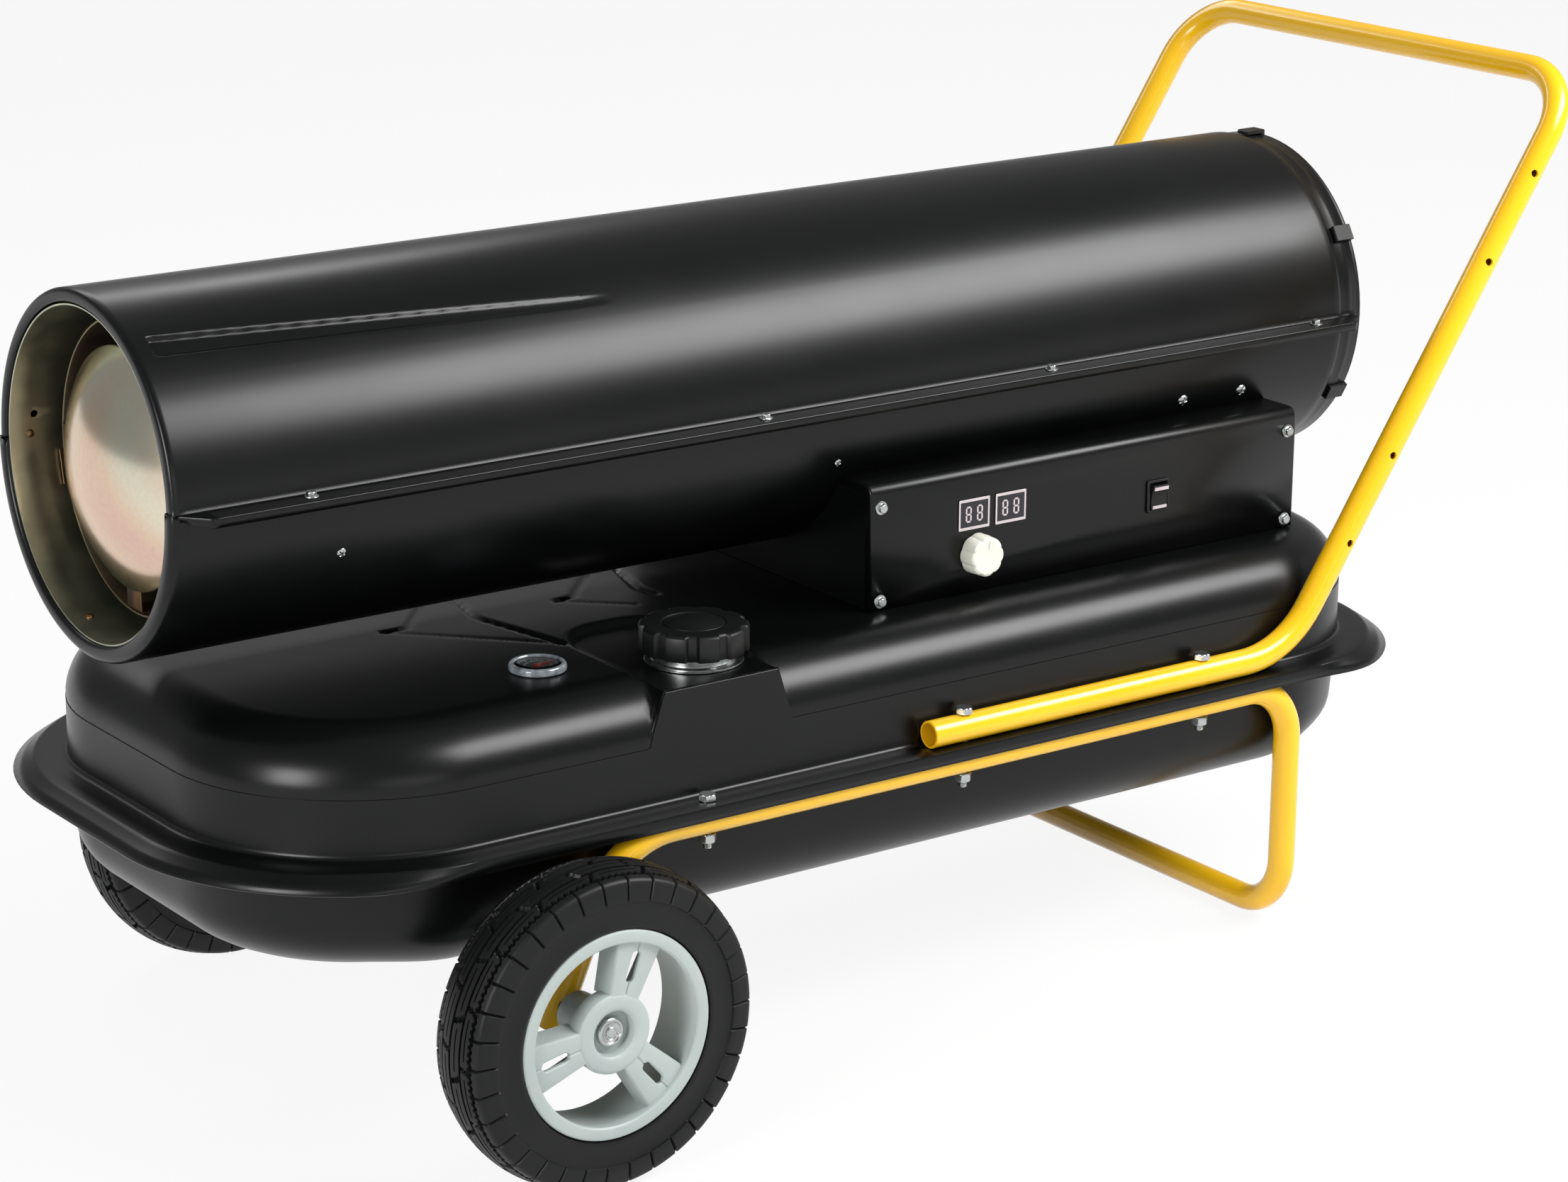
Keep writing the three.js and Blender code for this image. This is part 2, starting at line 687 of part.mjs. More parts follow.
function rockerBezel() {
  const [halfX, halfZ] = [bezelSize[0] / 2, bezelSize[1] / 2];
  const frame = box([-halfX, -1.8, -halfZ], [halfX, -gap, halfZ]);
  const well = box([-halfX + 1, -gap - 0.2, -halfZ + 1], [halfX - 1, 13, halfZ - 1]);
  const hollow = box([-halfX + 2.2, -3, -halfZ + 1.9], [halfX - 2.2, 9, halfZ - 1.9]);
  const pinHole = rod('x', 2, -halfX + 1, halfX - 1, [0, 0], 8);
  return cut(fuse([frame, well]), [hollow, pinHole.translate(0, rockerPivot, 0)]);
}

const rockerPivot = 2.6;
const rockerTilt = 7;

function rockerPaddle() {
  const half = bezelSize[0] / 2 - 2.8;
  const outline = [[-6.6, 8], [-5.2, 0], [-6.6, -8], [1.8, -7.2], [3.2, 0], [1.8, 7.2]];
  const pins = rod('x', 1.4, -half - 1.3, half + 1.3, [0, 0], 8);
  return fuse([alongX(outline, -half, half), pins]).rotateX(rockerTilt * degrees);
}

// Tank plan: corner arcs joined by straight sides, given as points with outward directions.
const tankPlan = planPoints();

function planPoints() {
  const halfWidth = foldHalfWidth - wallInset;
  const [front, rear] = [foldFront + wallInset - 4, foldRear - wallInset];
  const corners = [
    { radius: 150 - wallInset, x: front + 150 - wallInset, side: -1, from: 180 },
    { radius: 120 - wallInset, x: rear - 120 + wallInset, side: -1, from: 270 },
    { radius: 120 - wallInset, x: rear - 120 + wallInset, side: 1, from: 0 },
    { radius: 150 - wallInset, x: front + 150 - wallInset, side: 1, from: 90 },
  ];
  const points = [];
  for (const corner of corners) {
    const centreY = corner.side * (halfWidth - corner.radius);
    for (let k = 0; k <= 6; k++) {
      const turn = (corner.from + 15 * k) * degrees;
      const normal = [Math.cos(turn), Math.sin(turn)];
      const bulge = 6 * Math.max(0, Math.abs(normal[0]) - 0.5);
      points.push({
        x: corner.x + corner.radius * normal[0] + Math.sign(normal[0]) * bulge,
        y: centreY + corner.radius * normal[1],
        normal,
        end: THREE.MathUtils.smoothstep(Math.abs(normal[0]), 0, 0.55),
      });
    }
    if (corner.from === 180) points.push(...sidePoints(-halfWidth, front, rear));
    if (corner.from === 0) points.push(...sidePoints(halfWidth, rear, front));
  }
  return points;
}

function sidePoints(y, from, to) {
  const inset = Math.sign(to - from) * 150;
  const normal = [0, Math.sign(y)];
  return [0.25, 0.5, 0.75].map((t) => ({ x: mix(from + inset, to - inset, t), y, normal, end: 0 }));
}

// A ring of the tank: `out` is the distance from the wall line, and may differ between sides and ends.
function tankRing(outAtSide, outAtEnd, z) {
  return tankPlan.map(({ x, y, normal, end }) => {
    const out = mix(outAtSide, outAtEnd, end);
    return [x + normal[0] * out, y + normal[1] * out, z];
  });
}

function fromRings(rings) {
  return loft(rings.map(([side, end, z]) => tankRing(side, end, z)), ([x, y]) => [x, y]);
}

// Rings of a rounded shoulder between the wall and a flat, `side` and `end` being its radii.
function shoulder(side, end, flatZ, up, thick) {
  return [0, 30, 60, 90].map((angle) => {
    const turn = angle * degrees;
    const drop = (radius) => (radius - thick) * (1 - Math.sin(turn));
    const inset = (radius) => thick + (radius - thick) * (1 - Math.cos(turn));
    return [-inset(side), -inset(end), flatZ - up * (thick + drop(side))];
  });
}

const flare = 13;

function upperBowl(thick) {
  const start = thick ? tankSeamZ - tankLip - 5 : tankSeamZ - sheet;
  const rounded = shoulder(filletTop, filletTop, tankTop, 1, thick);
  return fromRings([[-thick, -thick, start], [-thick, -thick, tankSeamZ + 4], ...rounded]);
}

const pocket = { front: 288, rear: 373, back: -55, corner: 35 };

// Fill under the filler pad, drawn in by `thick` for its inner side.
function padBlock(thick) {
  const outer = -(foldHalfWidth - wallInset) + thick;
  const level = (spread, z) => [
    [pocket.front - spread + thick, outer, z], [pocket.rear + spread - thick, outer, z],
    [pocket.rear + spread - thick, pocket.back - 20, z], [pocket.front - spread + thick, pocket.back - 20, z],
  ];
  return loft([level(14, 225), level(0, padTop - thick)], ([x, y]) => [x, y]);
}

function padRecess(thick) {
  const { front, rear, back, corner } = pocket;
  const arc = (x, from) => [0, 30, 60, 90].map((angle) => {
    const turn = (from + angle) * degrees;
    return [x + (corner + thick) * Math.cos(turn), back - corner + (corner + thick) * Math.sin(turn)];
  });
  const outer = -foldHalfWidth;
  const corners = [...arc(rear - corner, 0), ...arc(front + corner, 90)];
  const outline = [[front - thick, outer], [rear + thick, outer], ...corners];
  return alongZ(outline, padTop - thick, tankTop + 8);
}

function tankUpper() {
  const lip = (thick) => fromRings([
    [wallInset - thick, wallInset + flare - thick, tankSeamZ - tankLip],
    [wallInset - thick, wallInset - thick, tankSeamZ - thick],
  ]);
  const filled = (thick) => solidOf(upperBowl(thick)).add(solidOf(padBlock(thick)));
  const bowl = (thick) => filled(thick).subtract(solidOf(padRecess(thick)));
  const outside = bowl(0).add(solidOf(lip(0)));
  const holes = [
    rod('z', neckRadius + slack, padTop - 8, padTop + 8, [capX, capY], 24),
    rod('z', stemRadius + slack, tankTop - 8, tankTop + 8, [gaugeX, gaugeY]),
    rod('z', fuelRadius + 0.8, tankTop - 8, tankTop + 8, [pickupX, fuelEntry.y]),
    ...boltHoles(tankSeamZ - 6, tankSeamZ + 6),
  ];
  const inside = [lip(sheet), ...holes].map(solidOf);
  const hollow = inside.reduce((solid, tool) => solid.subtract(tool), outside.subtract(bowl(sheet)));
  return geometryOf(hollow);
}

function tankLower() {
  const flange = wallInset - sheet - gap;
  const top = tankSeamZ - sheet - gap;
  const rounded = (thick) => [0, 30, 60, 90].map((angle) => {
    const turn = angle * degrees;
    const ring = (radius) => thick + (radius - thick) * (1 - Math.cos(turn));
    return [-ring(38) - 1, -ring(52) - 3, tankBottom + thick + (38 - thick) * (1 - Math.sin(turn))];
  });
  const bowl = (thick, high) => fromRings([[-thick - gap, -thick - gap, high], ...rounded(thick)]);
  const plate = fromRings([[flange, flange, top], [flange, flange, top - sheet]]);
  return cut(fuse([bowl(0, top), plate]), [bowl(sheet, top + 3), ...boltHoles(top - 6, top + 6)]);
}

// Filler, cap and gauge
const neckRadius = 26;
const neckTop = 289.5;

function fillerNeck() {
  const profile = [
    [neckRadius - 2, 262], [neckRadius, 262], [neckRadius, padTop + gap], [31, padTop + gap],
    [31, padTop + 1.5],
    [neckRadius, padTop + 1.5], [neckRadius, neckTop], [neckRadius - 2, neckTop], [neckRadius - 2, 262],
  ];
  return turned('z', profile, 24, [capX, capY, 0]);
}

function capSeal() {
  return rod('z', 28, neckTop + gap, neckTop + 2.6, [0, 0], 24);
}

// Cap with ten grip lobes and a domed middle, drawn about its own axis.
function fuelCap() {
  const lobes = Array.from({ length: 60 }, (_, k) => {
    const turn = (2 * Math.PI * k) / 60;
    const radius = k % 6 === 0 || k % 6 === 1 ? 31.8 : capRadius;
    return [radius * Math.cos(turn), radius * Math.sin(turn)];
  });
  const ring = (scale, z) => lobes.map(([x, y]) => [x * scale, y * scale, z]);
  const grip = loft([ring(1, 278), ring(1, 292.5), ring(0.95, 294.5)], ([x, y]) => [x, y]);
  const dome = turned('z', [[0, 290], [19, 290], [18, 295.5], [12, 297], [0, 297.5]], 20);
  const cavity = rod('z', 29.5, 270, neckTop + 2.6 + gap, [0, 0], 24);
  return cut(fuse([grip, dome]), [cavity]);
}

const stemRadius = 9;
const floatZ = 200;
const armX = 6.2;

function gaugeBody() {
  const dial = tankTop + 1.6;
  const profile = [
    [0, 262], [stemRadius, 262], [stemRadius, tankTop + gap], [18, tankTop + gap], [18, dial + 2.6],
    [16.8, dial + 3.4],
    [14.6, dial + 3.4], [14.6, dial], [0, dial],
  ];
  const stem = box([-1.5, -4, floatZ - 5], [1.5, 4, 264]);
  const pin = rod('x', 2, 1, armX + 1.6, [0, floatZ], 8);
  const spindle = rod('z', 1.9, dial - 3, dial + 1, [0, 0], 8);
  return cut(fuse([turned('z', profile, 24), stem, pin]), [spindle]).translate(gaugeX, gaugeY, 0);
}

function gaugeLens() {
  const dial = tankTop + 1.6;
  return rod('z', 14.3, dial + 1.9, dial + 3.1, [gaugeX, gaugeY], 24);
}

// Needle about its own spindle.
function gaugeNeedle() {
  const pointer = box([-3, -0.8, 0.4], [11.5, 0.8, 1.1]);
  return fuse([pointer, rod('z', 1.2, -2.4, 1.1, [0, 0], 8), rod('z', 2.4, 0.4, 1.3, [0, 0], 10)]);
}

// Float arm about its pivot, reaching towards +y.
function gaugeArm() {
  const eye = cut(rod('x', 5, -1.4, 1.4, [0, 0]), [rod('x', 2.6, -3, 3, [0, 0])]);
  const arm = box([-1.2, 4, -1.2], [1.2, 66, 1.2]);
  return fuse([eye, arm, rod('x', 12, -13, 13, [76, 0], 14)]);
}

// Fuel and air lines
const pickupX = fuelEntry.x + 55;
const lineZ = 287;
const airLineY = barrelRadius - 12.2;
const filterLength = 26;
const filterRear = pickupX - 14;
const filterFront = filterRear - filterLength;

function pipe(corners, radii) {
  return tube(bentRun(corners, radii, Math.PI / 6), fuelRadius, 6);
}

function fuelPickup() {
  const y = fuelEntry.y;
  return pipe([[pickupX, y, tankBottom + 12], [pickupX, y, lineZ], [filterRear + gap, y, lineZ]], [8]);
}

function fuelFilter() {
  return rod('x', 7, filterFront, filterRear, [fuelEntry.y, lineZ]);
}

function fuelLine() {
  const { x, y } = fuelEntry;
  const corners = [
    [filterFront - gap, y, lineZ], [x, y, lineZ], [x, y, lineZ + 43], [x - 75, y, lineZ + 43],
    [x - 75, 0, barrelZ],
    [nozzleRear + gap, 0, barrelZ],
  ];
  return pipe(corners, [8, 10, 12, 14]);
}

function airLine() {
  const start = [motorRear + 12, 40, barrelZ];
  const corners = [
    start, [start[0], airLineY, barrelZ + 30], [450, airLineY, barrelZ + 30], [400, 14, barrelZ + 30],
    [388, 9.4, barrelZ + 3],
  ];
  return pipe(corners, [14, 30, 14]);
}

// Frame
// The body tips back about the axle until the flat underside of the rear bar stands on the floor.
const tubeSides = 10;
const footRadius = tubeRadius * Math.cos(Math.PI / tubeSides);
const legDrop = axleZ - footZ;
const legReach = Math.hypot(legX - axleX, legDrop);
const noseUp = Math.asin((tyreRadius - footRadius) / legReach) - Math.atan2(legDrop, legX - axleX);
const footPhase = 0.5 - (noseUp * tubeSides) / (2 * Math.PI);

function frameTube(corners, radii) {
  const mirrored = corners.map(([x, y, z]) => [x, -y, z]).reverse();
  const run = bentRun([...corners, ...mirrored], [...radii, ...[...radii].reverse()]);
  return tube(run, tubeRadius, tubeSides, tubeRadius - tubeWall, 6, footPhase);
}

const handleRunZ = tankSeamZ + tubeRadius + gap;
const lowerRunZ = tankSeamZ - 2 * sheet - 2 * gap - tubeRadius;

function handleTube() {
  const y = -tubeOffset;
  const raw = frameTube([[handleStart, y, handleRunZ], [uprightX, y, handleRunZ], [gripX, y, gripZ]], [70, 45]);
  return cut(raw, boltHoles(handleRunZ - 12, handleRunZ + 12));
}

function lowerTube() {
  const y = -tubeOffset;
  const corners = [[199, y, 75.5], [247.5, y, lowerRunZ], [legX, y, lowerRunZ], [legX, y, footZ]];
  const raw = frameTube(corners, [60, 38, 38]);
  const axleHole = rod('y', axleRadius + slack, -tubeOffset - 12, tubeOffset + 12, [axleX, axleZ]);
  return cut(raw, [axleHole, ...boltHoles(lowerRunZ - 12, lowerRunZ + 12)]);
}

const boltRadius = 3;
const boltXs = [313, 511, 710.5];

function boltPlaces() {
  return boltXs.flatMap((x) => [-1, 1].map((side) => [x, side * tubeOffset]));
}

function boltHoles(low, high) {
  return boltPlaces().map((place) => rod('z', boltRadius + slack, low, high, place, 8));
}

function frameBolt([x, y]) {
  const seat = x < handleStart ? tankSeamZ + gap : handleRunZ + tubeRadius + gap;
  const under = lowerRunZ - tubeRadius - gap;
  return fuse([
    rod('z', 5.8, seat, seat + 4.2, [x, y], 6),
    rod('z', boltRadius, under - 9.5, seat + 1, [x, y], 8),
    rod('z', 5.8, under - 5.5, under, [x, y], 6),
  ]);
}

// Wheels, drawn about their own axis with y out of the heater on the near side.
const rimRadius = 64.9;
const rimFace = tyreWidth / 2 - 0.3;

function tyre() {
  const half = [
    [rimRadius + 1.1 + gap, 21], [71, 25], [83, 25], [84, 24], [95.6, 23.6], [tyreRadius, 9],
  ];
  const profile = [...half, ...half.map(([r, y]) => [r, -y]).reverse(), half[0]];
  return turned('y', profile, 30);
}

function rim() {
  const ring = [
    [57, rimFace - 1.4], [58.4, rimFace], [64.4, rimFace], [66, rimFace - 2], [66, -22], [64, -23.6], [62, -22],
    [60.4, 16], [57, 19], [57, rimFace - 1.4],
  ];
  const hub = [
    [axleRadius + slack, -22], [13.5, -22], [16, 4], [26.5, 9], [26.5, rimFace - 5], [25, rimFace - 3.4],
    [14.5, rimFace - 3.4], [14, rimFace - 11], [axleRadius + slack, rimFace - 11], [axleRadius + slack, -22],
  ];
  const pieces = [turned('y', ring, 30), turned('y', hub, 16)];
  for (const angle of [71, 191, 311]) pieces.push(spoke().rotateY(-angle * degrees));
  return fuse(pieces);
}

// Spoke along +x: a face plate that widens to the rim, with a rib down each edge and a slot through it.
function spoke() {
  const outline = [[22, 10.2], [60, 17], [60, -17], [22, -10.2]];
  const across = ([x, z], y) => [x, y, z];
  const plate = (points, from, to) => loft(
    [points.map((p) => across(p, from)), points.map((p) => across(p, to))],
    ([x, , z]) => [x, z],
  );
  const rib = (side) => [[22, side * 10.2], [60, side * 17], [60, side * 14.6], [22, side * 8]];
  const face = rimFace - 3;
  const ribs = [1, -1].map((side) => plate(rib(side), face - 17, face));
  const solid = fuse([plate(outline, face - 2.6, face), ...ribs]);
  const slot = [[32, -3], [52, -3], [52, 3], [32, 3]];
  return cut(solid, [plate(slot, face - 6, face + 4)]);
}

function axle() {
  return rod('y', axleRadius, -axleEnd, axleEnd, [axleX, axleZ], 16);
}

const axleEnd = wheelOffset + rimFace - 8;

function axleCap(side) {
  const [from, to] = [axleEnd - 2.4, axleEnd + 0.8].map((y) => side * y).sort((a, b) => a - b);
  const cap = rod('y', 9, from, to, [axleX, axleZ], 16);
  const seat = [axleEnd - 4, axleEnd + gap].map((y) => side * y).sort((a, b) => a - b);
  return cut(cap, [rod('y', axleRadius + gap, ...seat, [axleX, axleZ], 16)]);
}

// Assembly
const { black, blackPlastic, yellow, rubber, zinc, galvanised, stainless, heatSteel, aluminium, ivory } = looks;

addPiece(body, 'upper_shell', upperShell(), black);
addPiece(body, 'lower_shell', lowerShell(), black);
addPiece(body, 'outlet_liner', liner(), galvanised);
addPiece(body, 'combustion_chamber', chamber(), stainless);
addPiece(body, 'flame_dome', flameDome(), heatSteel);
[90, 0, -90, 180].forEach((angle, k) => addPiece(body, `dome_strap_${k + 1}`, domeStrap(angle), heatSteel));
[-12, -98].forEach((angle, k) => {
  addPiece(body, `chamber_bracket_${k + 1}`, chamberBracket(chamberFront + 12, angle), heatSteel);
});
addPiece(body, 'burner_head', burnerHead(), heatSteel);
addPiece(body, 'nozzle', nozzle(), looks.brass);
addPiece(body, 'ignition_electrodes', electrodes(), ivory);
addPiece(body, 'motor', motor(), aluminium);
addPiece(body, 'motor_bracket', motorBracket(), galvanised);
addPiece(body, 'air_pump', airPump(), aluminium);
addPiece(body, 'motor_shaft', motorShaft(), zinc);
addPiece(body, 'fan', fan(), aluminium);
addPiece(body, 'rear_guard', rearGuard(), blackPlastic);
addPiece(body, 'control_case', controlCase(), black);
addPiece(body, 'panel_cover', panelCover(), black);
addPiece(body, 'plain_cover', sideCover(1), black);
for (const [name, x] of Object.entries(displayXs)) addPiece(body, name, display(x), looks.display);
addPiece(body, 'control_board', controlBoard(), looks.board);
addPiece(body, 'thermostat_pot', thermostatPot(), aluminium);
addPiece(body, 'thermostat_knob', thermostatKnob(), ivory).position.set(knobX, panelY, knobZ);
addPiece(body, 'rocker_bezel', rockerBezel(), blackPlastic).position.set(rockerX, panelY, rockerZ);
addPiece(body, 'rocker', rockerPaddle(), blackPlastic).position.set(rockerX, panelY + rockerPivot, rockerZ);
addPiece(body, 'ignition_transformer', transformer(), looks.red);
addPiece(body, 'cord_gland', cordGland(), blackPlastic);
addPiece(body, 'tank_upper', tankUpper(), black);
addPiece(body, 'tank_lower', tankLower(), black);
addPiece(body, 'filler_neck', fillerNeck(), zinc);
addPiece(body, 'cap_seal', capSeal(), rubber).position.set(capX, capY, 0);
addPiece(body, 'fuel_cap', fuelCap(), blackPlastic).position.set(capX, capY, 0);
addPiece(body, 'gauge_body', gaugeBody(), blackPlastic);
addPiece(body, 'gauge_lens', gaugeLens(), looks.lens);
addPiece(body, 'gauge_needle', gaugeNeedle(), looks.red).position.set(gaugeX, gaugeY, tankTop + 1.6);
const floatArm = addPiece(body, 'gauge_arm', gaugeArm(), zinc);
floatArm.position.set(gaugeX + armX - 1.4, gaugeY, floatZ);
floatArm.rotation.x = -45 * degrees;
addPiece(body, 'fuel_pickup', fuelPickup(), zinc);
addPiece(body, 'fuel_filter', fuelFilter(), ivory);
addPiece(body, 'fuel_line', fuelLine(), zinc);
addPiece(body, 'air_line', airLine(), blackPlastic);
addPiece(body, 'handle_tube', handleTube(), yellow);
addPiece(body, 'lower_tube', lowerTube(), yellow);
boltPlaces().forEach((place, k) => addPiece(body, `frame_bolt_${k + 1}`, frameBolt(place), zinc));
addPiece(body, 'axle', axle(), zinc);
addPiece(body, 'axle_cap_near', axleCap(-1), zinc);
addPiece(body, 'axle_cap_far', axleCap(1), zinc);

// The tipped body, with its axle at the wheels' height.
const axlePlace = new THREE.Vector3(axleX, 0, axleZ);
const tipped = axlePlace.clone().applyAxisAngle(new THREE.Vector3(0, 1, 0), noseUp);
body.rotation.y = noseUp;
body.position.set(-tipped.x, 0, tyreRadius - tipped.z);

for (const [name, side] of [['near', -1], ['far', 1]]) {
  const wheel = new THREE.Group();
  wheel.position.set(0, side * wheelOffset, tyreRadius);
  if (side < 0) wheel.rotation.z = Math.PI;
  addPiece(wheel, `tyre_${name}`, tyre(), rubber);
  addPiece(wheel, `rim_${name}`, rim(), looks.rim);
  heater.add(wheel);
}

// Centred on the floor under the middle of its length.
heater.updateMatrixWorld(true);
const extent = new THREE.Box3().setFromObject(heater, true);
heater.position.x = -(extent.min.x + extent.max.x) / 2;
heater.position.z = -extent.min.z;

export default heater;
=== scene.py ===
# Look of the forced air heater. Body pieces are drawn in millimetres in the heater's own level frame:
# x from the outlet to the rear, -y the panel side, z up, and are then placed with the tipped body.
import json
import math

import bmesh
import bpy
from mathutils import Matrix, Vector


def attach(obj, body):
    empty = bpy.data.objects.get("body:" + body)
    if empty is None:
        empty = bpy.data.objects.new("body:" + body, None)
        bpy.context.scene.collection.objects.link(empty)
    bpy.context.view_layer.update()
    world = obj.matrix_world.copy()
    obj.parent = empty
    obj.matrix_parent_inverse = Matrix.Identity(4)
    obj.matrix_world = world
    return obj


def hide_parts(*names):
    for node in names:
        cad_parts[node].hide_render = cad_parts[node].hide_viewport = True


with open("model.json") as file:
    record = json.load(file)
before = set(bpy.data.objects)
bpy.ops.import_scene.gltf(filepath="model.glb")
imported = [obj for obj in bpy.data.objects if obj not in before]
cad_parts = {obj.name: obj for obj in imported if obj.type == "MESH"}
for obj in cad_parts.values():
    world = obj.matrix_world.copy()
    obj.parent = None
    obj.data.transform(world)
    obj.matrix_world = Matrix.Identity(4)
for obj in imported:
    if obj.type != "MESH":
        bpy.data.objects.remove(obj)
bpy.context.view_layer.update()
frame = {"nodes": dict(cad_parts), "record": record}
nodes = frame["nodes"]
joints = {j["name"]: j for j in frame["record"]["behaviour"]["joints"]}
print("frame loaded:", len(nodes), "nodes")

# The tipped body, from the fan's joint: its axis is the barrel's, and it lies at (728, 0, 408) of the body.
fanAxis = joints["fan_spin"]["axis"]
bodyTurn = Matrix.Rotation(math.atan2(-fanAxis[2], fanAxis[0]), 4, "Y")
fanPlace = Vector((0.728, 0, 0.408))
bodyPlace = Matrix.Translation(Vector(joints["fan_spin"]["pos_m"]) - bodyTurn @ fanPlace) @ bodyTurn
millimetres = Matrix.Scale(0.001, 4)


# Angles in degrees, the place in the body's mm, the focal length in pixels of a picture 2212 wide.
view = {
    "yaw": -35.86, "pitch": 16.73, "roll": 0.4, "place": (-1051.45, -2159.58, 1051.57),
    "focal": 5876.36, "pictureWidth": 2212, "sensorWidth": 36,
}


def makeCamera():
    yaw, pitch, roll = (math.radians(view[key]) for key in ("yaw", "pitch", "roll"))
    place = Vector(view["place"])
    forward = Vector((-math.sin(yaw) * math.cos(pitch), math.cos(yaw) * math.cos(pitch), -math.sin(pitch)))
    right = forward.cross(Vector((0, 0, 1))).normalized()
    up = right.cross(forward)
    turnedRight = right * math.cos(roll) + up * math.sin(roll)
    turnedUp = up * math.cos(roll) - right * math.sin(roll)
    axes = Matrix((turnedRight, turnedUp, -forward)).transposed().to_4x4()
    data = bpy.data.cameras.new("camera")
    data.sensor_width = view["sensorWidth"]
    data.lens = view["focal"] / view["pictureWidth"] * view["sensorWidth"]
    camera = bpy.data.objects.new("camera", data)
    camera.matrix_world = bodyPlace @ Matrix.Translation(place * 0.001) @ axes
    bpy.context.collection.objects.link(camera)
    bpy.context.scene.camera = camera
    return camera


# Materials.
def linear(hexColour, alpha=1):
    values = [int(hexColour[i:i + 2], 16) / 255 for i in (1, 3, 5)]
    return [v / 12.92 if v <= 0.04045 else ((v + 0.055) / 1.055) ** 2.4 for v in values] + [alpha]


def addNode(material, kind, settings=None, links=None):
    node = material.node_tree.nodes.new(kind)
    for key, value in (settings or {}).items():
        if isinstance(key, str) and hasattr(node, key):
            setattr(node, key, value)
        else:
            node.inputs[key].default_value = value
    for key, source in (links or {}).items():
        material.node_tree.links.new(source, node.inputs[key])
    return node


def newMaterial(name):
    material = bpy.data.materials.new(name)
    material.use_nodes = True
    material.node_tree.nodes.clear()
    return material


def finishMaterial(material, shader):
    addNode(material, "ShaderNodeOutputMaterial", links={"Surface": shader.outputs[0]})
    return material


def noiseAt(material, scale, detail=3, roughness=0.5, distortion=0.0, source=None):
    if source is None:
        source = addNode(material, "ShaderNodeTexCoord").outputs["Object"]
    settings = {"Scale": scale, "Detail": detail, "Roughness": roughness, "Distortion": distortion}
    return addNode(material, "ShaderNodeTexNoise", settings, {"Vector": source})


def ramp(material, source, stops):
    node = addNode(material, "ShaderNodeValToRGB", links={"Fac": source})
    while len(node.color_ramp.elements) < len(stops):
        node.color_ramp.elements.new(0.5)
    for element, (place, colour) in zip(node.color_ramp.elements, stops):
        element.position = place
        element.color = colour
    return node


def span(material, source, low, high):
    settings = {"To Min": low, "To Max": high}
    return addNode(material, "ShaderNodeMapRange", settings, {"Value": source})


# Surface with colour that drifts a little, uneven gloss and a fine bump. Sizes of the pattern are in mm.
def surface(name, look):
    material = newMaterial(name)
    drift = noiseAt(material, 1000 / look.get("driftSize", 60), 3)
    fine = noiseAt(material, 1000 / look.get("grainSize", 0.8), 2)
    colours = ramp(material, drift.outputs["Fac"],
                   [(0.3, linear(look["colour"])), (0.7, linear(look["second"]))])
    gloss = span(material, drift.outputs["Fac"], *look["roughness"])
    settings = {"Strength": look.get("bump", 0.1), "Distance": look.get("depth", 0.1) * 0.001}
    bump = addNode(material, "ShaderNodeBump", settings, {"Height": fine.outputs["Fac"]})
    links = {"Base Color": colours.outputs["Color"], "Roughness": gloss.outputs[0], "Normal": bump.outputs[0]}
    settings = {"Metallic": look.get("metal", 0.0)}
    if "specular" in look:
        settings["Specular IOR Level"] = look["specular"]
    if "coat" in look:
        settings["Coat Weight"] = look["coat"]
        settings["Coat Roughness"] = look.get("coatRoughness", 0.1)
    shader = addNode(material, "ShaderNodeBsdfPrincipled", settings, links)
    return finishMaterial(material, shader)


# Dome and chamber steel, coloured by heat: straw, rose and blue bands that wander over the metal.
def heatedSteel(name, look):
    material = newMaterial(name)
    coords = addNode(material, "ShaderNodeTexCoord").outputs["Object"]
    broad = noiseAt(material, 1000 / look["bandSize"], 2, 0.4, 0.6, coords)
    fine = noiseAt(material, 1000 / 3, 4, 0.6, 0.0, coords)
    blend = addNode(material, "ShaderNodeMix", {"Factor": look.get("speckle", 0.08)})
    blend.data_type = "FLOAT"
    material.node_tree.links.new(broad.outputs["Fac"], blend.inputs["A"])
    material.node_tree.links.new(fine.outputs["Fac"], blend.inputs["B"])
    colours = ramp(material, blend.outputs["Result"], [(p, linear(c)) for p, c in look["bands"]])
    gloss = span(material, fine.outputs["Fac"], *look["roughness"])
    bump = addNode(material, "ShaderNodeBump", {"Strength": 0.08, "Distance": 0.0002},
                   {"Height": fine.outputs["Fac"]})
    links = {"Base Color": colours.outputs["Color"], "Roughness": gloss.outputs[0], "Normal": bump.outputs[0]}
    shader = addNode(material, "ShaderNodeBsdfPrincipled", {"Metallic": 1.0}, links)
    return finishMaterial(material, shader)


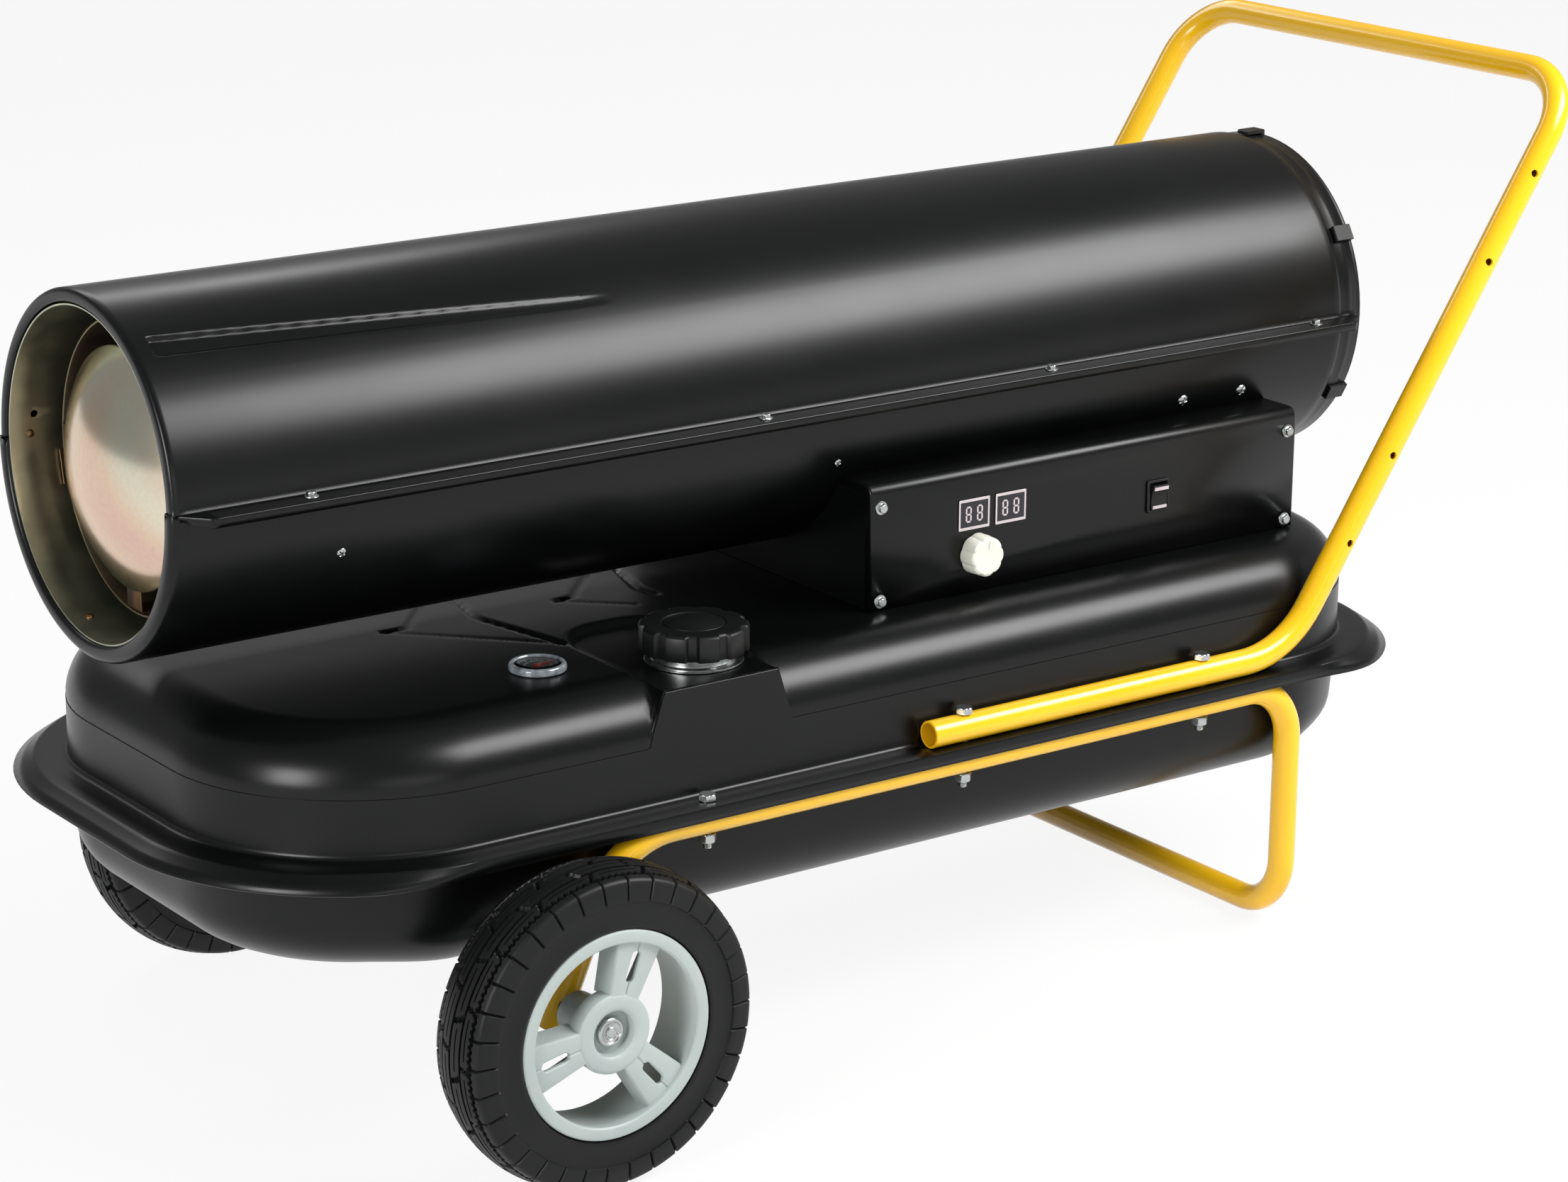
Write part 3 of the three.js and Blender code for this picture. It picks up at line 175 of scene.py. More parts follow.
looks = {
    # semi-gloss powder coat: broad soft highlights with a faint orange peel
    "blackPaint": {"colour": "#050606", "second": "#080909", "roughness": (0.27, 0.33), "specular": 0.3,
                   "grainSize": 1.6,
                   "bump": 0.12, "depth": 0.05, "driftSize": 90},
    # warm yellow enamel, glossier than the black
    "yellowPaint": {"colour": "#efb70e", "second": "#f3be18", "roughness": (0.2, 0.27), "grainSize": 1.8,
                    "bump": 0.08, "depth": 0.05, "driftSize": 120, "coat": 0.3, "coatRoughness": 0.1},
    "tyreRubber": {"colour": "#0c0d0d", "second": "#121313", "roughness": (0.42, 0.52), "specular": 0.3,
                   "grainSize": 0.9,
                   "bump": 0.25, "depth": 0.12},
    "rimPlastic": {"colour": "#a3adab", "second": "#aeb8b5", "roughness": (0.42, 0.5), "grainSize": 0.5,
                   "bump": 0.15, "depth": 0.05},
    "capPlastic": {"colour": "#0b0c0c", "second": "#101111", "roughness": (0.36, 0.46), "specular": 0.35,
                   "grainSize": 0.4,
                   "bump": 0.25, "depth": 0.06},
    "ivoryPlastic": {"colour": "#dcdccf", "second": "#e6e6da", "roughness": (0.35, 0.45), "grainSize": 0.5,
                     "bump": 0.1, "depth": 0.03},
    "zincPlate": {"colour": "#b4b8b8", "second": "#c9ccca", "roughness": (0.22, 0.34), "metal": 1.0,
                  "grainSize": 0.6,
                  "bump": 0.12, "depth": 0.03, "driftSize": 6},
    "galvanised": {"colour": "#a7ac9c", "second": "#c2c4ae", "roughness": (0.3, 0.42), "metal": 1.0,
                   "grainSize": 2.5,
                   "bump": 0.1, "depth": 0.05, "driftSize": 18},
    "aluminiumCast": {"colour": "#9b9ea0", "second": "#b1b4b5", "roughness": (0.4, 0.5), "metal": 1.0,
                      "grainSize": 0.7, "bump": 0.25, "depth": 0.06},
    "brassBar": {"colour": "#b28c46", "second": "#c39c55", "roughness": (0.25, 0.35), "metal": 1.0},
    "boardLacquer": {"colour": "#20492f", "second": "#28593a", "roughness": (0.3, 0.4)},
    "displayWindow": {"colour": "#16131a", "second": "#1c1820", "roughness": (0.1, 0.16), "bump": 0.02},
    "redPlastic": {"colour": "#a8301f", "second": "#b8402b", "roughness": (0.4, 0.5)},
    "sealRubber": {"colour": "#161616", "second": "#1e1e1e", "roughness": (0.6, 0.7)},
    # clear plastic ring of the fuel gauge, drawn opaque: its grey with a pale mottle is painted sheen standing
    # in for the light the clear plastic catches, so it shows pale against the black tank
    "clearRing": {"colour": "#50565b", "second": "#8d9499", "roughness": (0.12, 0.2), "grainSize": 1.2,
                  "bump": 0.1,
                  "coat": 0.6, "coatRoughness": 0.05, "driftSize": 5},
    "displaySegments": {"colour": "#b9aeb0", "second": "#cabfc0", "roughness": (0.3, 0.4)},
}
# Steels coloured by heat: each band's place in the drift and its colour.
heatedLooks = {
    # bright spun steel, blue at the cool end through straw to rose
    "domeSteel": {"bandSize": 150, "roughness": (0.16, 0.24),
                  "bands": [(0.28, "#a8b9d2"), (0.42, "#d2d8d4"), (0.52, "#dddcc8"), (0.62, "#e0c6ae"),
                            (0.72, "#d8b0aa")]},
    # duller straw and brown, going grey blue
    "chamberSteel": {"bandSize": 60, "roughness": (0.3, 0.42),
                     "bands": [(0.3, "#8b8574"), (0.5, "#a89c82"), (0.62, "#8b7a70"), (0.75, "#6f7488")]},
    # copper brown
    "strapSteel": {"bandSize": 20, "roughness": (0.35, 0.5),
                   "bands": [(0.3, "#6d5a45"), (0.5, "#8a6a4c"), (0.7, "#574c44")]},
}


def makeMaterials():
    made = {name: surface(name, look) for name, look in looks.items()}
    made.update({name: heatedSteel(name, look) for name, look in heatedLooks.items()})
    lens = newMaterial("lensClear")
    wipe = noiseAt(lens, 1000 / 8)
    gloss = span(lens, wipe.outputs["Fac"], 0.03, 0.09)
    settings = {"Base Color": linear("#eef2f2"), "Transmission Weight": 1.0, "IOR": 1.49}
    shader = addNode(lens, "ShaderNodeBsdfPrincipled", settings, {"Roughness": gloss.outputs[0]})
    made["lensClear"] = finishMaterial(lens, shader)
    return made


mats = makeMaterials()
print("materials made:", len(mats))


# Mesh helpers.
def meshPiece(name, points, faces, look, body="heater", place=None, sharp=35, replaces=()):
    mesh = bpy.data.meshes.new(name)
    mesh.from_pydata([tuple(p) for p in points], [], faces)
    mesh.transform((bodyPlace if place is None else place) @ millimetres)
    mesh.validate()
    tidy = bmesh.new()
    tidy.from_mesh(mesh)
    bmesh.ops.remove_doubles(tidy, verts=tidy.verts, dist=1e-6)
    bmesh.ops.recalc_face_normals(tidy, faces=tidy.faces)
    tidy.to_mesh(mesh)
    tidy.free()
    mesh.shade_smooth()
    mesh.set_sharp_from_angle(angle=math.radians(sharp))
    obj = bpy.data.objects.new(name, mesh)
    bpy.context.collection.objects.link(obj)
    obj.data.materials.append(mats[look])
    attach(obj, body)
    if replaces:
        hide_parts(*replaces)
    return obj


def soften(obj, width, segments=2, angle=35):
    bevel = obj.modifiers.new("bevel", "BEVEL")
    bevel.width = width * 0.001
    bevel.segments = segments
    bevel.limit_method = "ANGLE"
    bevel.angle_limit = math.radians(angle)
    bevel.harden_normals = True
    return obj


# Rows of points joined to a grid. `ring` closes each row, `closed` joins the last row to the first.
def gridFaces(rows, count, ring=True, closed=False):
    faces = []
    for r in range(rows if closed else rows - 1):
        nextRow = (r + 1) % rows
        for i in range(count if ring else count - 1):
            j = (i + 1) % count
            faces.append((r * count + i, r * count + j, nextRow * count + j, nextRow * count + i))
    return faces


def joined(parts):
    points, faces = [], []
    for partPoints, partFaces in parts:
        offset = len(points)
        points.extend(partPoints)
        faces.extend(tuple(i + offset for i in face) for face in partFaces)
    return points, faces


# Profile of (radius, along) turned round an axis through `at`. A closed profile gives a closed ring.
def lathe(profile, segments=64, axis="x", at=(0, 0, 0), closed=False):
    points = []
    for radius, along in profile:
        for k in range(segments):
            turn = 2 * math.pi * k / segments
            c, s = radius * math.cos(turn), radius * math.sin(turn)
            local = {"x": (along, c, s), "y": (s, along, c), "z": (c, s, along)}[axis]
            points.append(tuple(a + b for a, b in zip(local, at)))
    return points, gridFaces(len(profile), segments, True, closed)


def boxMesh(low, high):
    (x0, y0, z0), (x1, y1, z1) = low, high
    points = [(x, y, z) for z in (z0, z1) for y in (y0, y1) for x in (x0, x1)]
    faces = [(0, 2, 3, 1), (4, 5, 7, 6), (0, 1, 5, 4), (2, 6, 7, 3), (0, 4, 6, 2), (1, 3, 7, 5)]
    return points, faces


def prism(outline, low, high, axis="z"):
    order = {"x": lambda u, v, w: (w, u, v), "y": lambda u, v, w: (u, w, v), "z": lambda u, v,
             w: (u, v, w)}[axis]
    count = len(outline)
    points = [order(u, v, low) for u, v in outline] + [order(u, v, high) for u, v in outline]
    faces = [tuple(range(count)), tuple(range(count, 2 * count))]
    faces += [(i, (i + 1) % count, count + (i + 1) % count, count + i) for i in range(count)]
    return points, faces


def moved(part, matrix):
    points, faces = part
    return [tuple(matrix @ Vector(p)) for p in points], faces


def circle(radius, count, start=0.0):
    return [(radius * math.cos(start + 2 * math.pi * k / count),
             radius * math.sin(start + 2 * math.pi * k / count))
            for k in range(count)]


def cutWith(obj, cutters):
    for cutter in cutters:
        step = obj.modifiers.new("cut", "BOOLEAN")
        step.object = cutter
        step.operation = "DIFFERENCE"
        step.solver = "EXACT"
    shape = obj.evaluated_get(bpy.context.evaluated_depsgraph_get())
    mesh = bpy.data.meshes.new_from_object(shape)
    obj.modifiers.clear()
    obj.data = mesh
    for cutter in cutters:
        bpy.data.objects.remove(cutter)
    return obj


def cutterPiece(part, place=None):
    mesh = bpy.data.meshes.new("cutter")
    mesh.from_pydata(part[0], [], part[1])
    mesh.transform((bodyPlace if place is None else place) @ millimetres)
    tidy = bmesh.new()
    tidy.from_mesh(mesh)
    bmesh.ops.recalc_face_normals(tidy, faces=tidy.faces)
    tidy.to_mesh(mesh)
    tidy.free()
    obj = bpy.data.objects.new("cutter", mesh)
    bpy.context.collection.objects.link(obj)
    return obj


# Barrel.
barrel = {
    "radius": 111.7, "length": 917.0, "z": 408.0, "sheet": 1.2, "lipInner": 103.2, "seamWidth": 17.0,
    "seamLip": 6.0, "seamCorner": 15.0, "rearInset": 1.5, "fluteFront": 13.0, "fluteEnd": 325.0,
    "fluteDepth": 3.4,
}


# Outline of the rolled front rim and the barrel's length as (x, radius).
def barrelStations():
    r = barrel["radius"]
    rim = [(7.0, barrel["lipInner"]), (1.4, barrel["lipInner"]), (0.5, barrel["lipInner"] + 0.4),
           (0.0, barrel["lipInner"] + 1.3), (0.0, r - 3.2), (0.35, r - 1.7), (1.2, r - 0.6), (2.6, r)]
    xs = [5, 9, 12, 13, 14, 15.5, 18, 22, 30] + [30 + 16 * k for k in range(1, 54)]
    xs = sorted({x for x in xs if x < 890} | {300, 312, 318, 322, 325, 328, 894})
    body = [(float(x), r) for x in xs]
    low = r - barrel["rearInset"]
    tail = [(898.5, r), (899.6, r - 0.35), (900.8, low + 0.35), (902, low), (908, low), (barrel["length"], low)]
    return rim + body + tail


def smooth(edge0, edge1, value):
    t = max(0.0, min(1.0, (value - edge0) / (edge1 - edge0)))
    return t * t * (3 - 2 * t)


# How far the pressed flute sinks the sheet at x, with the angle measured up from the panel side's horizontal.
def fluteSink(x, angle):
    if not barrel["fluteFront"] <= x <= barrel["fluteEnd"]:
        return 0.0
    t = (x - barrel["fluteFront"]) / (barrel["fluteEnd"] - barrel["fluteFront"])
    low, high = 50 - 5 * t, 57 - 9.5 * t
    depth = barrel["fluteDepth"] * (1 - 0.75 * t) * smooth(0, 0.008, t) * smooth(1, 0.9, t)
    edge = 1.1
    return depth * smooth(low - edge, low + edge,
                          angle) * (1 - smooth(high - edge * 0.6, high + edge * 0.6, angle))


def upperAngles():
    fine = [40 + 0.4 * k for k in range(55)]
    coarse = [2.5 * k for k in range(1, 16)] + [64 + 2 * k for k in range(13)]
    return sorted(coarse + fine)


def shellPiece(name, upper, node):
    stations = barrelStations()
    width = barrel["seamWidth"] if upper else barrel["seamWidth"] - 1.6
    if upper:
        half = upperAngles()
        angles = half + [90.0] + [180 - a for a in reversed(half)]
    else:
        angles = [180 + 2.5 * k for k in range(1, 72)]
    base = 0.9 if upper else -0.5
    rows = []
    for x, radius in stations:
        seam = width * max(0.0, min(1.0, (x - 3) / barrel["seamCorner"],
                                    (barrel["length"] - x) / barrel["seamCorner"]))
        seam = max(seam, 0.02)
        crease = min(1.2, seam * 0.5)
        ledge = [(radius + crease, base), (radius + crease * 0.3, base + (0.5 if upper else -0.5) * crease)]
        lip = [(radius + seam, base - 0.5 if upper else base), (radius + seam - 0.5, base)]
        if upper:
            drop = barrel["seamLip"] * min(1.0, seam / 4)
            lip = [(radius + seam, base - drop), (radius + seam, base - 0.7),
                   (radius + seam - 0.25, base - 0.2),
                   (radius + seam - 0.7, base)]
        side = lip + ledge
        near = [(-y, z) for y, z in side]
        far = list(reversed(side))
        arc = []
        for a in angles:
            sink = max(fluteSink(x, a), fluteSink(x, 180 - a)) if upper else 0.0
            turn = math.radians(a)
            arc.append((-(radius - sink) * math.cos(turn), (radius - sink) * math.sin(turn)))
        row = near + arc + far if upper else far[::-1] + arc + [(-y, z) for y, z in reversed(side)]
        rows.append([(x, y, z + barrel["z"]) for y, z in row])
    count = len(rows[0])
    points = [p for row in rows for p in row]
    piece = meshPiece(name, points, gridFaces(len(rows), count, ring=False), "blackPaint", sharp=50,
                      replaces=[node])
    thick = piece.modifiers.new("sheet", "SOLIDIFY")
    thick.thickness = 0.0012
    thick.offset = -1
    return piece


def makeBarrel():
    shellPiece("barrel_upper", True, "upper_shell")
    shellPiece("barrel_lower", False, "lower_shell")
    print("barrel made")


# Centre line of a tube: straight stretches between corners, with a round bend of the given radius at each.
def tubePath(corners, radii, step=6):
    points = [Vector(c) for c in corners]
    ways = [(b - a).normalized() for a, b in zip(points, points[1:])]
    path = [(points[0], ways[0])]
    for i, radius in enumerate(radii):
        into, out = ways[i], ways[i + 1]
        angle = into.angle(out)
        inward = (out - into * math.cos(angle)).normalized()
        start = points[i + 1] - into * (radius * math.tan(angle / 2))
        count = max(2, math.ceil(math.degrees(angle) / step))
        for k in range(count + 1):
            turn = angle * k / count
            place = start + into * (radius * math.sin(turn)) + inward * (radius * (1 - math.cos(turn)))
            path.append((place, into * math.cos(turn) + inward * math.sin(turn)))
    path.append((points[-1], ways[-1]))
    return path


# Rings carried along a path without twist. A positive wall makes the tube hollow with open ends.
def sweep(path, radius, segments=28, wall=0.0):
    side = path[0][1].orthogonal().normalized()
    rings = []
    before = path[0][1]
    for place, along in path:
        side = (before.rotation_difference(along) @ side)
        side = (side - along * side.dot(along)).normalized()
        rings.append((place, side.copy(), along.cross(side)))
        before = along
    angles = [2 * math.pi * k / segments for k in range(segments)]

    def ring(frameAt, r):
        place, u, v = frameAt
        return [tuple(place + u * (r * math.cos(a)) + v * (r * math.sin(a))) for a in angles]

    rows = [ring(at, radius) for at in rings]
    if wall:
        first, last = path[0], path[-1]
        nudge = 0.35
        rows[0] = ring((first[0] + first[1] * nudge, rings[0][1], rings[0][2]), radius)
        rows[-1] = ring((last[0] - last[1] * nudge, rings[-1][1], rings[-1][2]), radius)
        rows.insert(0, ring(rings[0], radius - nudge))
        rows.append(ring(rings[-1], radius - nudge))
        rows += [ring(at, radius - wall) for at in reversed(rings)]
        return [p for row in rows for p in row], gridFaces(len(rows), segments, True, True)
    points = [p for row in rows for p in row]
    last = len(points) - segments
    faces = gridFaces(len(rows), segments) + [tuple(range(segments)), tuple(range(last, last + segments))]
    return points, faces


tubes = {
    "radius": 9.0, "wall": 1.5, "offset": 193.9,
    "handle": [(483, 208.3), (784.4, 208.3), (1031.7, 574.9)], "handleBends": [70, 45],
    "lower": [(199, 75.5), (247.5, 187.0), (789.7, 187.0), (789.7, 21.9)], "lowerBends": [60, 38, 38],
    "holes": [(987.7, 514.3), (949.2, 457.8), (868.2, 334.8), (832.1, 279.2)], "holeRadius": 2.6,
    "boltXs": [313, 511, 710.5], "axle": (206, 91), "axleRadius": 6.0,
}


def frameTube(name, run, bends, node):
    near = [(x, -tubes["offset"], z) for x, z in run]
    far = [(x, tubes["offset"], z) for x, z in reversed(run)]
    bends = bends + bends[::-1]
    path = tubePath(near + far, bends)
    return meshPiece(name, *sweep(path, tubes["radius"], 28, tubes["wall"]), "yellowPaint", replaces=[node])


def makeTubes():
    handle = frameTube("push_handle", tubes["handle"], tubes["handleBends"], "handle_tube")
    cutWith(handle, [holeCutter(x, z) for x, z in tubes["holes"]])
    lower = frameTube("lower_frame", tubes["lower"], tubes["lowerBends"], "lower_tube")
    boreTube = prism(circle(tubes["axleRadius"] + 0.6, 20), -tubes["offset"] - 12, tubes["offset"] + 12, "y")
    bore = moved(boreTube, Matrix.Translation((tubes["axle"][0], 0, tubes["axle"][1])))
    cutWith(lower, [cutterPiece(bore)])
    print("tubes made")


def holeCutter(x, z):
    return cutterPiece(moved(prism(circle(tubes["holeRadius"], 20), -tubes["offset"] - 12, -tubes["offset"],
                                   "y"),
                             Matrix.Translation((x, 0, z))))


# Hex head or nut standing on z 0: a washer face below, and its upper corners rounded off as on a turned blank.
def hexSolid(across, height, face=0.4):
    flat = across / 2
    rows = []
    for z, limit in ((0, flat * 0.93), (face, flat * 0.93), (face, flat * 2), (height - 1.1, flat * 2),
                     (height - 0.5, flat * 1.09),
                     (height, flat * 0.96)):
        row = []
        for k in range(72):
            turn = math.radians(5 * k)
            edge = flat / math.cos((turn % math.radians(60)) - math.radians(30))
            reach = min(edge, limit)
            row.append((reach * math.cos(turn), reach * math.sin(turn), z))
        rows.append(row)
    points = [p for row in rows for p in row]
    faces = gridFaces(len(rows), 72) + [tuple(range(72)), tuple(range(5 * 72, 6 * 72))]
    return points, faces


# Threaded rod from z 0 down to -length, its thread drawn as close ridges with a chamfered end.
def threadRod(radius, length, pitch=1.0):
    profile = [(radius - 0.3, 0)]
    for k in range(int(length / pitch)):
        profile += [(radius - 0.42, -k * pitch - 0.15), (radius, -k * pitch - 0.5),
                    (radius - 0.42, -k * pitch - 0.85)]
    profile += [(radius - 0.9, -length), (0.05, -length)]
    return lathe(profile, 20, "z")


def atPlace(part, x, y, z, turn=0.0):
    return moved(part, Matrix.Translation((x, y, z)) @ Matrix.Rotation(math.radians(turn), 4, "Z"))


def makeBolts():
    names = iter(range(1, 7))
    for x in tubes["boltXs"]:
        for side in (-1, 1):
            seat = 199.3 if x < 483 else 217.6
            under = 177.7
            turn = 17 + x * 0.31
            parts = [atPlace(hexSolid(10, 4.2), x, side * tubes["offset"], seat, turn),
                     atPlace(threadRod(3.0, seat - under + 9.4), x, side * tubes["offset"], seat),
                     moved(atPlace(hexSolid(10, 5.2), 0, 0, 0, turn + 21),
                           Matrix.Translation((x, side * tubes["offset"], under)) @ Matrix.Rotation(math.pi, 4,
                                                                                                    "X"))]
            k = next(names)
            meshPiece(f"frame_bolt_{k}_detail", *joined(parts), "zincPlate", sharp=30,
                      replaces=[f"frame_bolt_{k}"])
    print("frame bolts made")


# Wheels.
wheels = {
    "radius": 101.6, "offset": 231.5, "width": 50.0, "axle": (206, 91), "sectors": 17, "steps": 32,
    "grooveDepth": 2.8, "spokes": (71, 191, 311), "slotMiddle": 42.0, "slotLength": 20.0, "slotWidth": 6.0,
}


def wheelPlace(side):
    x, z = wheels["axle"]
    turn = Matrix.Identity(4) if side < 0 else Matrix.Rotation(math.pi, 4, "Z")
    return bodyPlace @ Matrix.Translation((x * 0.001, side * wheels["offset"] * 0.001, z * 0.001)) @ turn


# Outline of half the tyre from the crown's middle out to the bead as (across, radius, zone).
def tyreHalf():
    crown = [0, 0.8, 1.1, 2.4, 4.2, 4.5, 5.1, 5.4, 7.4, 8.7, 9.0, 10.0, 10.3, 11.8, 12.4, 12.7, 13.3, 14.4,
             15.2, 15.7, 16.2, 16.7,
             17.2, 17.7, 18.2, 18.7, 19.4]
    rows = [(t, 101.6 - 0.0105 * t * t, "crown") for t in crown]
    rows += [(21.2, 97.3, "block"), (22.6, 96.3, "block"), (23.4, 95.0, "block"), (23.9, 92.0, "block"),
             (24.5, 88.0, "block"),
             (24.9, 84.6, "block"), (24.7, 83.5, "block"), (23.6, 83.1, "wall"), (23.4, 82.0, "wall"),
             (23.4, 77.0, "wall"),
             (23.7, 72.0, "wall"), (24.1, 69.6, "wall"), (24.3, 68.0, "wall"), (23.9, 66.9, "wall"),
             (22.6, 66.4, "wall"),
             (21.2, 66.3, "wall")]
    return rows


# Depth of the tread pattern: grooves round the crown, staggered cross cuts, saw-toothed edges, and cuts between
# the shoulder blocks.
def treadDepth(across, zone, step):
    deep, per = wheels["grooveDepth"], wheels["steps"]
    if zone == "wall":
        return 0.0
    near = abs(across)
    shift = 0 if across > 0 else per // 2
    if zone == "block":
        return 1.5 if step % (per // 2) == 0 else 0.0
    tooth = (step + shift) % 4
    saw = 0.9 * (tooth if tooth < 3 else 1)
    if 15.3 + saw < near < 17.6 + 0.5 * saw:
        return deep
    if near <= 0.9 or 9.0 <= near <= 10.1:
        return deep
    if near > 17.6:
        return deep * 0.6 if step % (per // 2) == 0 else 0.0
    inner = near < 9.0
    cut = (step + shift + (7 if inner else 19) + int(near * (0.35 if inner else -0.35))) % per
    if cut in (0, 1):
        return deep
    sipe = (4.2 < near < 5.4) if inner else (12.4 < near < 13.3)
    return 1.6 if sipe and 6 <= cut <= per - 5 else 0.0


def tyreMesh():
    half = tyreHalf()
    outline = [(-t, r, zone) for t, r, zone in reversed(half[1:])] + half
    count = wheels["sectors"] * wheels["steps"]
    rows = []
    for i, (t, r, zone) in enumerate(outline):
        before, after = outline[max(i - 1, 0)], outline[min(i + 1, len(outline) - 1)]
        along = Vector((after[0] - before[0], after[1] - before[1])).normalized()
        inward = Vector((along.y, -along.x))
        row = []
        for k in range(count):
            depth = treadDepth(t, zone, k)
            turn = 2 * math.pi * k / count
            reach = r + inward.y * depth
            row.append((reach * math.cos(turn), t + inward.x * depth, reach * math.sin(turn)))
        rows.append(row)
    for t, r in ((20.0, 66.3), (0, 66.3), (-20.0, 66.3)):
        rows.append([(r * math.cos(2 * math.pi * k / count), t,
                      r * math.sin(2 * math.pi * k / count)) for k in range(count)])
    return [p for row in rows for p in row], gridFaces(len(rows), count, True, True)


# Spoke along +x: a dished plate with turned-down edges and a radial slot with round ends.
def spokeParts(face):
    inner, outer, half0, half1 = 21.0, 60.0, 10.4, 16.8

    def widthAt(x):
        return half0 + (half1 - half0) * (x - inner) / (outer - inner)
    xs = [inner + (outer - inner) * k / 20 for k in range(21)]
    middle, halfLength, halfWidth = wheels["slotMiddle"], wheels["slotLength"] / 2, wheels["slotWidth"] / 2
    sections = []
    for side in (-1, 1):
        rows = []
        for x in xs + [middle - halfLength + 0.01, middle + halfLength - 0.01]:
            off = abs(x - middle)
            straight = halfLength - halfWidth
            if off < halfLength:
                slot = halfWidth if off <= straight else math.sqrt(max(0.0,
                                                                       halfWidth ** 2 - (off - straight) ** 2))
            else:
                slot = 0.0
            w = widthAt(x)
            rows.append((x, [(slot, -3.2), (slot, -0.9), (slot + 0.9, -0.1), (slot + 1.6, 0), (w - 2.4, 0),
                             (w - 1.0, -0.3),
                             (w - 0.25, -1.1), (w, -2.2), (w + 0.6, -17.0), (w - 1.6, -17.0), (w - 2.2, -3.2)]))
        rows.sort(key=lambda row: row[0])
        points = [(x, face + drop, side * z) for x, row in rows for z, drop in row]
        faces = gridFaces(len(rows), 11)
        faces += [tuple(range(11)), tuple(range(len(points) - 11, len(points)))]
        sections.append((points, faces))
    return sections


def rimMesh():
    face = wheels["width"] / 2 - 0.4
    ring = [(57.2, face - 3.0), (57.5, face - 1.2), (58.4, face - 0.25), (59.4, face), (63.6, face),
            (64.8, face - 0.3),
            (65.6, face - 1.2), (65.9, face - 3.0), (65.9, -21.8), (65.2, -22.6), (63.2, -22.6), (62.4, -21.6),
            (60.6, 0),
            (59.8, 12)]
    hub = [(6.7, -21.8), (13.2, -21.8), (13.6, -21.2), (15.4, 4), (17.5, 7.5), (24.6, 8.4), (25.2, 9.4),
           (25.5, face - 6.0),
           (25.1, face - 4.4), (24.0, face - 3.4), (22.4, face - 3.0), (17.2, face - 3.0), (15.6, face - 3.4),
           (14.5, face - 4.4), (14.1, face - 6.0), (13.8, face - 11.0), (6.7, face - 11.0)]
    parts = [lathe(ring, 96, "y", closed=True), lathe(hub, 64, "y", closed=True)]
    for angle in wheels["spokes"]:
        turn = Matrix.Rotation(math.radians(-angle), 4, "Y")
        parts += [moved(part, turn) for part in spokeParts(face - 3.6)]
    return joined(parts)


# Push-on cap over the axle's end: a bright dished washer round the axle's domed end.
def axleCapMesh():
    out = wheels["width"] / 2 - 7.6
    washer = [(3.6, out - 1.9), (8.6, out - 1.9), (9.0, out - 1.5), (8.9, out - 0.5), (8.2, out + 0.1),
              (7.0, out + 0.2),
              (6.4, out - 0.5), (3.6, out - 0.7)]
    stud = [(0.05, out + 0.5), (1.8, out + 0.45), (2.9, out + 0.2), (3.4, out - 0.3), (3.4, out - 1.8),
            (0.05, out - 1.8)]
    collar = [(4.2, out - 0.6), (5.0, out - 0.1), (5.7, out - 0.1), (6.0, out - 0.7)]
    return joined([lathe(washer, 48, "y", closed=True), lathe(stud, 32, "y"),
                   lathe(collar, 48, "y", closed=True)])


def makeWheels():
    tread, rimShape, cap = tyreMesh(), rimMesh(), axleCapMesh()
    # drawn facing +y and mirrored to face -y, outwards on the near side; wheelPlace turns the far one round
    flip = Matrix.Scale(-1, 4, (0, 1, 0))
    for side, name in ((-1, "near"), (1, "far")):
        place = wheelPlace(side)
        body = f"wheel_{name}"
        meshPiece(f"tyre_{name}_tread", *moved(tread, flip), "tyreRubber", body, place, 28, [f"tyre_{name}"])
        meshPiece(f"rim_{name}_spokes", *moved(rimShape, flip), "rimPlastic", body, place, 32, [f"rim_{name}"])
        meshPiece(f"axle_cap_{name}_dished", *moved(cap, flip), "zincPlate", "heater", place, 32,
                  [f"axle_cap_{name}"])
    print("wheels made")


# Tank.
tank = {
    "halfWidth": 184.4, "front": 25.2, "rear": 895.8, "frontRadius": 128.8, "rearRadius": 98.8, "bulge": 6.0,
    "seam": 199.0, "top": 274.0, "bottom": 119.0, "fold": 21.2, "flare": 13.0, "lip": 9.0, "shoulder": 38.0,
    "sheet": 1.2,
    "gap": 0.3, "spineY": 50.0, "spineFront": 150.0, "spineRear": 790.0,
    "padFront": 288.0, "padRear": 373.0, "padBack": -55.0, "padCorner": 35.0, "padTop": 270.0,
    "padSpread": 14.0,
    "lowerSide": 38.0, "lowerEnd": 52.0,
    "cap": (340, -140), "gauge": (243, -113), "pickup": (560, 40),
}
# Pressed grooves in the tank's top as (depth, half width, points).
grooves = [
    (2.4, 3.4, [(285, -77), (269, 1), (280, 46)]), (2.4, 3.4, [(330, 2), (345, 5), (385, 48)]),
    (2.4, 3.4, [(402, 40), (390, -3), (392, -21)]), (2.0, 3.4, [(204, 7), (222, 6), (265, 56)]),
    (0.9, 2.2, [(204, 7), (285, -77)]), (0.9, 2.2, [(330, 2), (369, -34)]),
]


